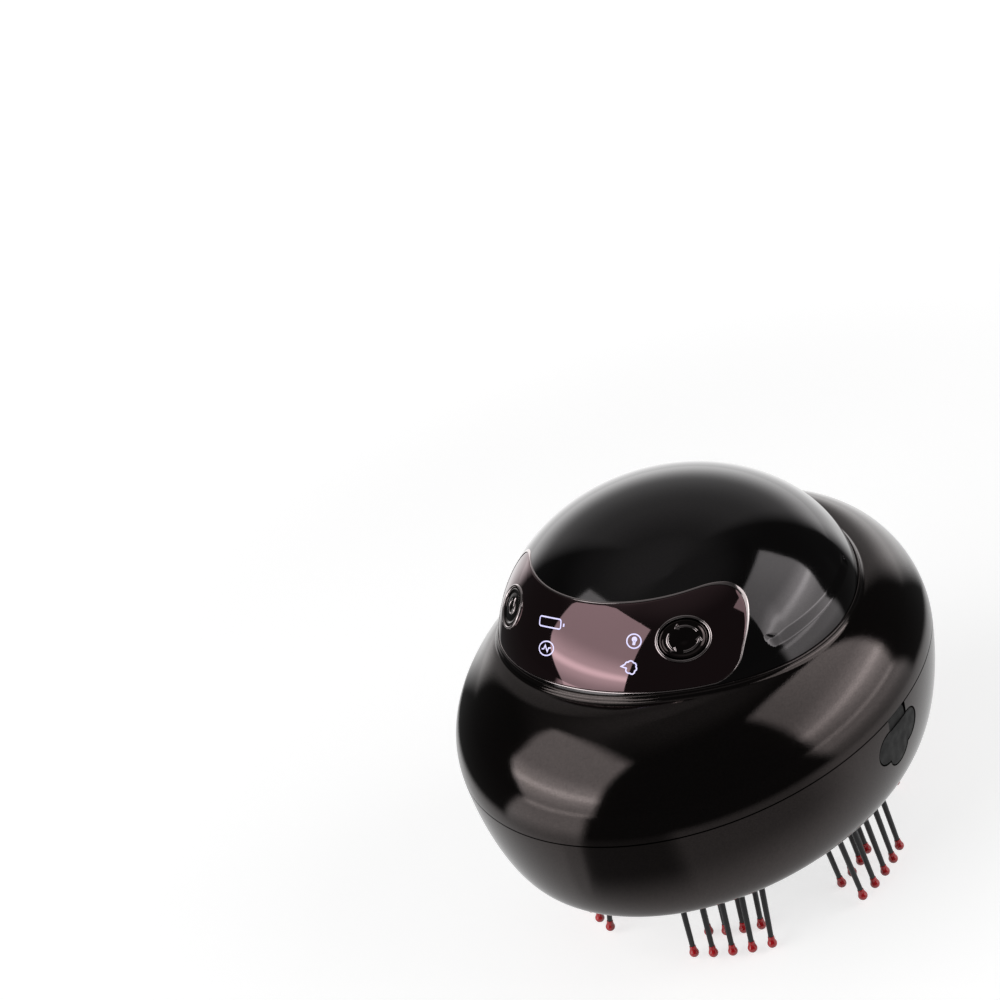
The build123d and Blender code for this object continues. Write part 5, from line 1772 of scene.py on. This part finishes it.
def soft_box(name, azimuth, elevation, distance, width, height, radiance, tube, sides, slant):
    """Lamp that faces the object; radiance 1 looks white, tube is added in a band across it, sides are
    the shares of brightness at its two sides, and slant is the share cut off one side below."""
    turn, lift = radians(azimuth), radians(elevation)
    away = Vector((sin(turn) * cos(lift), -cos(turn) * cos(lift), sin(lift)))
    lamp = bpy.data.lights.new(name, "AREA")
    lamp.shape, lamp.size, lamp.size_y = "RECTANGLE", width, height
    lamp.energy = pi * width * height
    lamp.use_nodes = True
    tree = lamp.node_tree
    tree.nodes.clear()
    face = add_node(tree, "ShaderNodeNewGeometry").outputs["Parametric"]
    spot = add_node(tree, "ShaderNodeSeparateXYZ", {"Vector": face}).outputs
    halo = add_band(tree, spot["Y"], *halo_band, tube * halo_share)
    core = add_band(tree, spot["Y"], *core_band, tube * core_share)
    strength = add_math(tree, "ADD", add_math(tree, "ADD", halo, core), radiance)
    strength = add_math(tree, "MULTIPLY", strength, add_ramp(tree, spot["X"], 0.0, 1.0, *sides))
    cut = add_ramp(tree, spot["Y"], slant_low, slant_high, slant, 0.0)
    inside = add_math(tree, "SUBTRACT", spot["X"], cut)
    strength = add_math(tree, "MULTIPLY", strength, add_ramp(tree, inside, 0.0, slant_edge, 0.0, 1.0))
    glow = add_node(tree, "ShaderNodeEmission", {"Strength": strength})
    add_node(tree, "ShaderNodeOutputLight", {"Surface": glow.outputs[0]})
    box = bpy.data.objects.new(name, lamp)
    scene.collection.objects.link(box)
    box.location = aim_place + away * distance
    box.rotation_mode = "QUATERNION"
    box.rotation_quaternion = (-away).to_track_quat("-Z", "Y")


soft_box("left_box", left_azimuth, elevation=24, distance=0.80, width=0.86, height=1.12,
         radiance=1.5, tube=2.8, sides=(1.0, 1.0), slant=0.28)
soft_box("right_box", right_azimuth, elevation=21, distance=0.80, width=0.70, height=0.94,
         radiance=1.3, tube=2.4, sides=(0.75, 1.25), slant=0.0)
print("lamps:", len(bpy.data.lights))

# %% [markdown]
# ## The room
# The world is a white backdrop behind the object and a dim room in front of it, so that a dark glossy
# body shows its true darkness between the two boxes. The backdrop is brightest near the floor and dims
# as it climbs, and the ceiling is a little brighter straight overhead. Here a ramp runs over the height
# of a direction, which is 0 at the horizon and 1 overhead.

# %% World
backdrop_sector = (back_azimuth, 32, 14, 1.0)
backdrop_ramps = (0.02, 0.34, 1.10, 0.0), (0.20, 0.65, 0.27, 0.0), (0.65, 0.98, 0.31, 0.15)
beside_patch = (-105, 45, 60, 0.09), (0.55, 0.90, 0.0, 1.0)
overhead_ramp = (0.80, 0.99, 0.047, 0.13)


def make_world():
    world = bpy.data.worlds.new("pale_room")
    world.use_nodes = True
    tree = world.node_tree
    tree.nodes.clear()
    seen, _ = add_rays(tree)
    way, height, _ = add_compass(tree, add_node(tree, "ShaderNodeTexCoord").outputs["Generated"])
    low, middle, high = [add_ramp(tree, height, *ramp) for ramp in backdrop_ramps]
    glow = add_math(tree, "ADD", low, add_math(tree, "ADD", middle, high))
    backdrop = add_math(tree, "MULTIPLY", add_sector(tree, way, *backdrop_sector), glow)
    beside = add_patch(tree, way, height, *beside_patch)
    ceiling = add_math(tree, "ADD", add_ramp(tree, height, *overhead_ramp), beside)
    strength = add_greatest(tree, seen, backdrop, ceiling)
    background = add_node(tree, "ShaderNodeBackground", {"Strength": strength})
    background.inputs["Color"].default_value = rgba(1, 1, 1)
    add_node(tree, "ShaderNodeOutputWorld", {"Surface": background.outputs[0]})
    return world


scene.world = make_world()
print("world:", scene.world.name)

# %% [markdown]
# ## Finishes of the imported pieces
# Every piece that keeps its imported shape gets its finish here. The names say what is what.

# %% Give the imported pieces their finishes
kept_finishes = {
    lamp_clear: ["window_leds", "light_guides"],
    port_rubber: ["port_cover", "port_cover_anchor"],
    cup_charcoal: ["applicator_lid"],
    seal_rubber: ["cup_seal"],
    inner_plastic: ["cup_socket", "comb_retainer", "inner_frame", "battery_tray", "motor_bracket"],
    foil_pouch: ["battery"],
    board_green: ["main_board", "charge_board", "led_boards", "display_boards"],
    pressed_steel: ["motor_can", "casing_screws", "frame_screws", "motor_shaft", "charging_socket"],
    heavy_metal: ["eccentric_weight"],
    switch_black: ["button_switches"],
}
for material, names in kept_finishes.items():
    for name in names:
        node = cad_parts[name]
        node.data.materials.clear()
        node.data.materials.append(material)
print("packed pieces with a finish:", sum(len(names) for names in kept_finishes.values()))
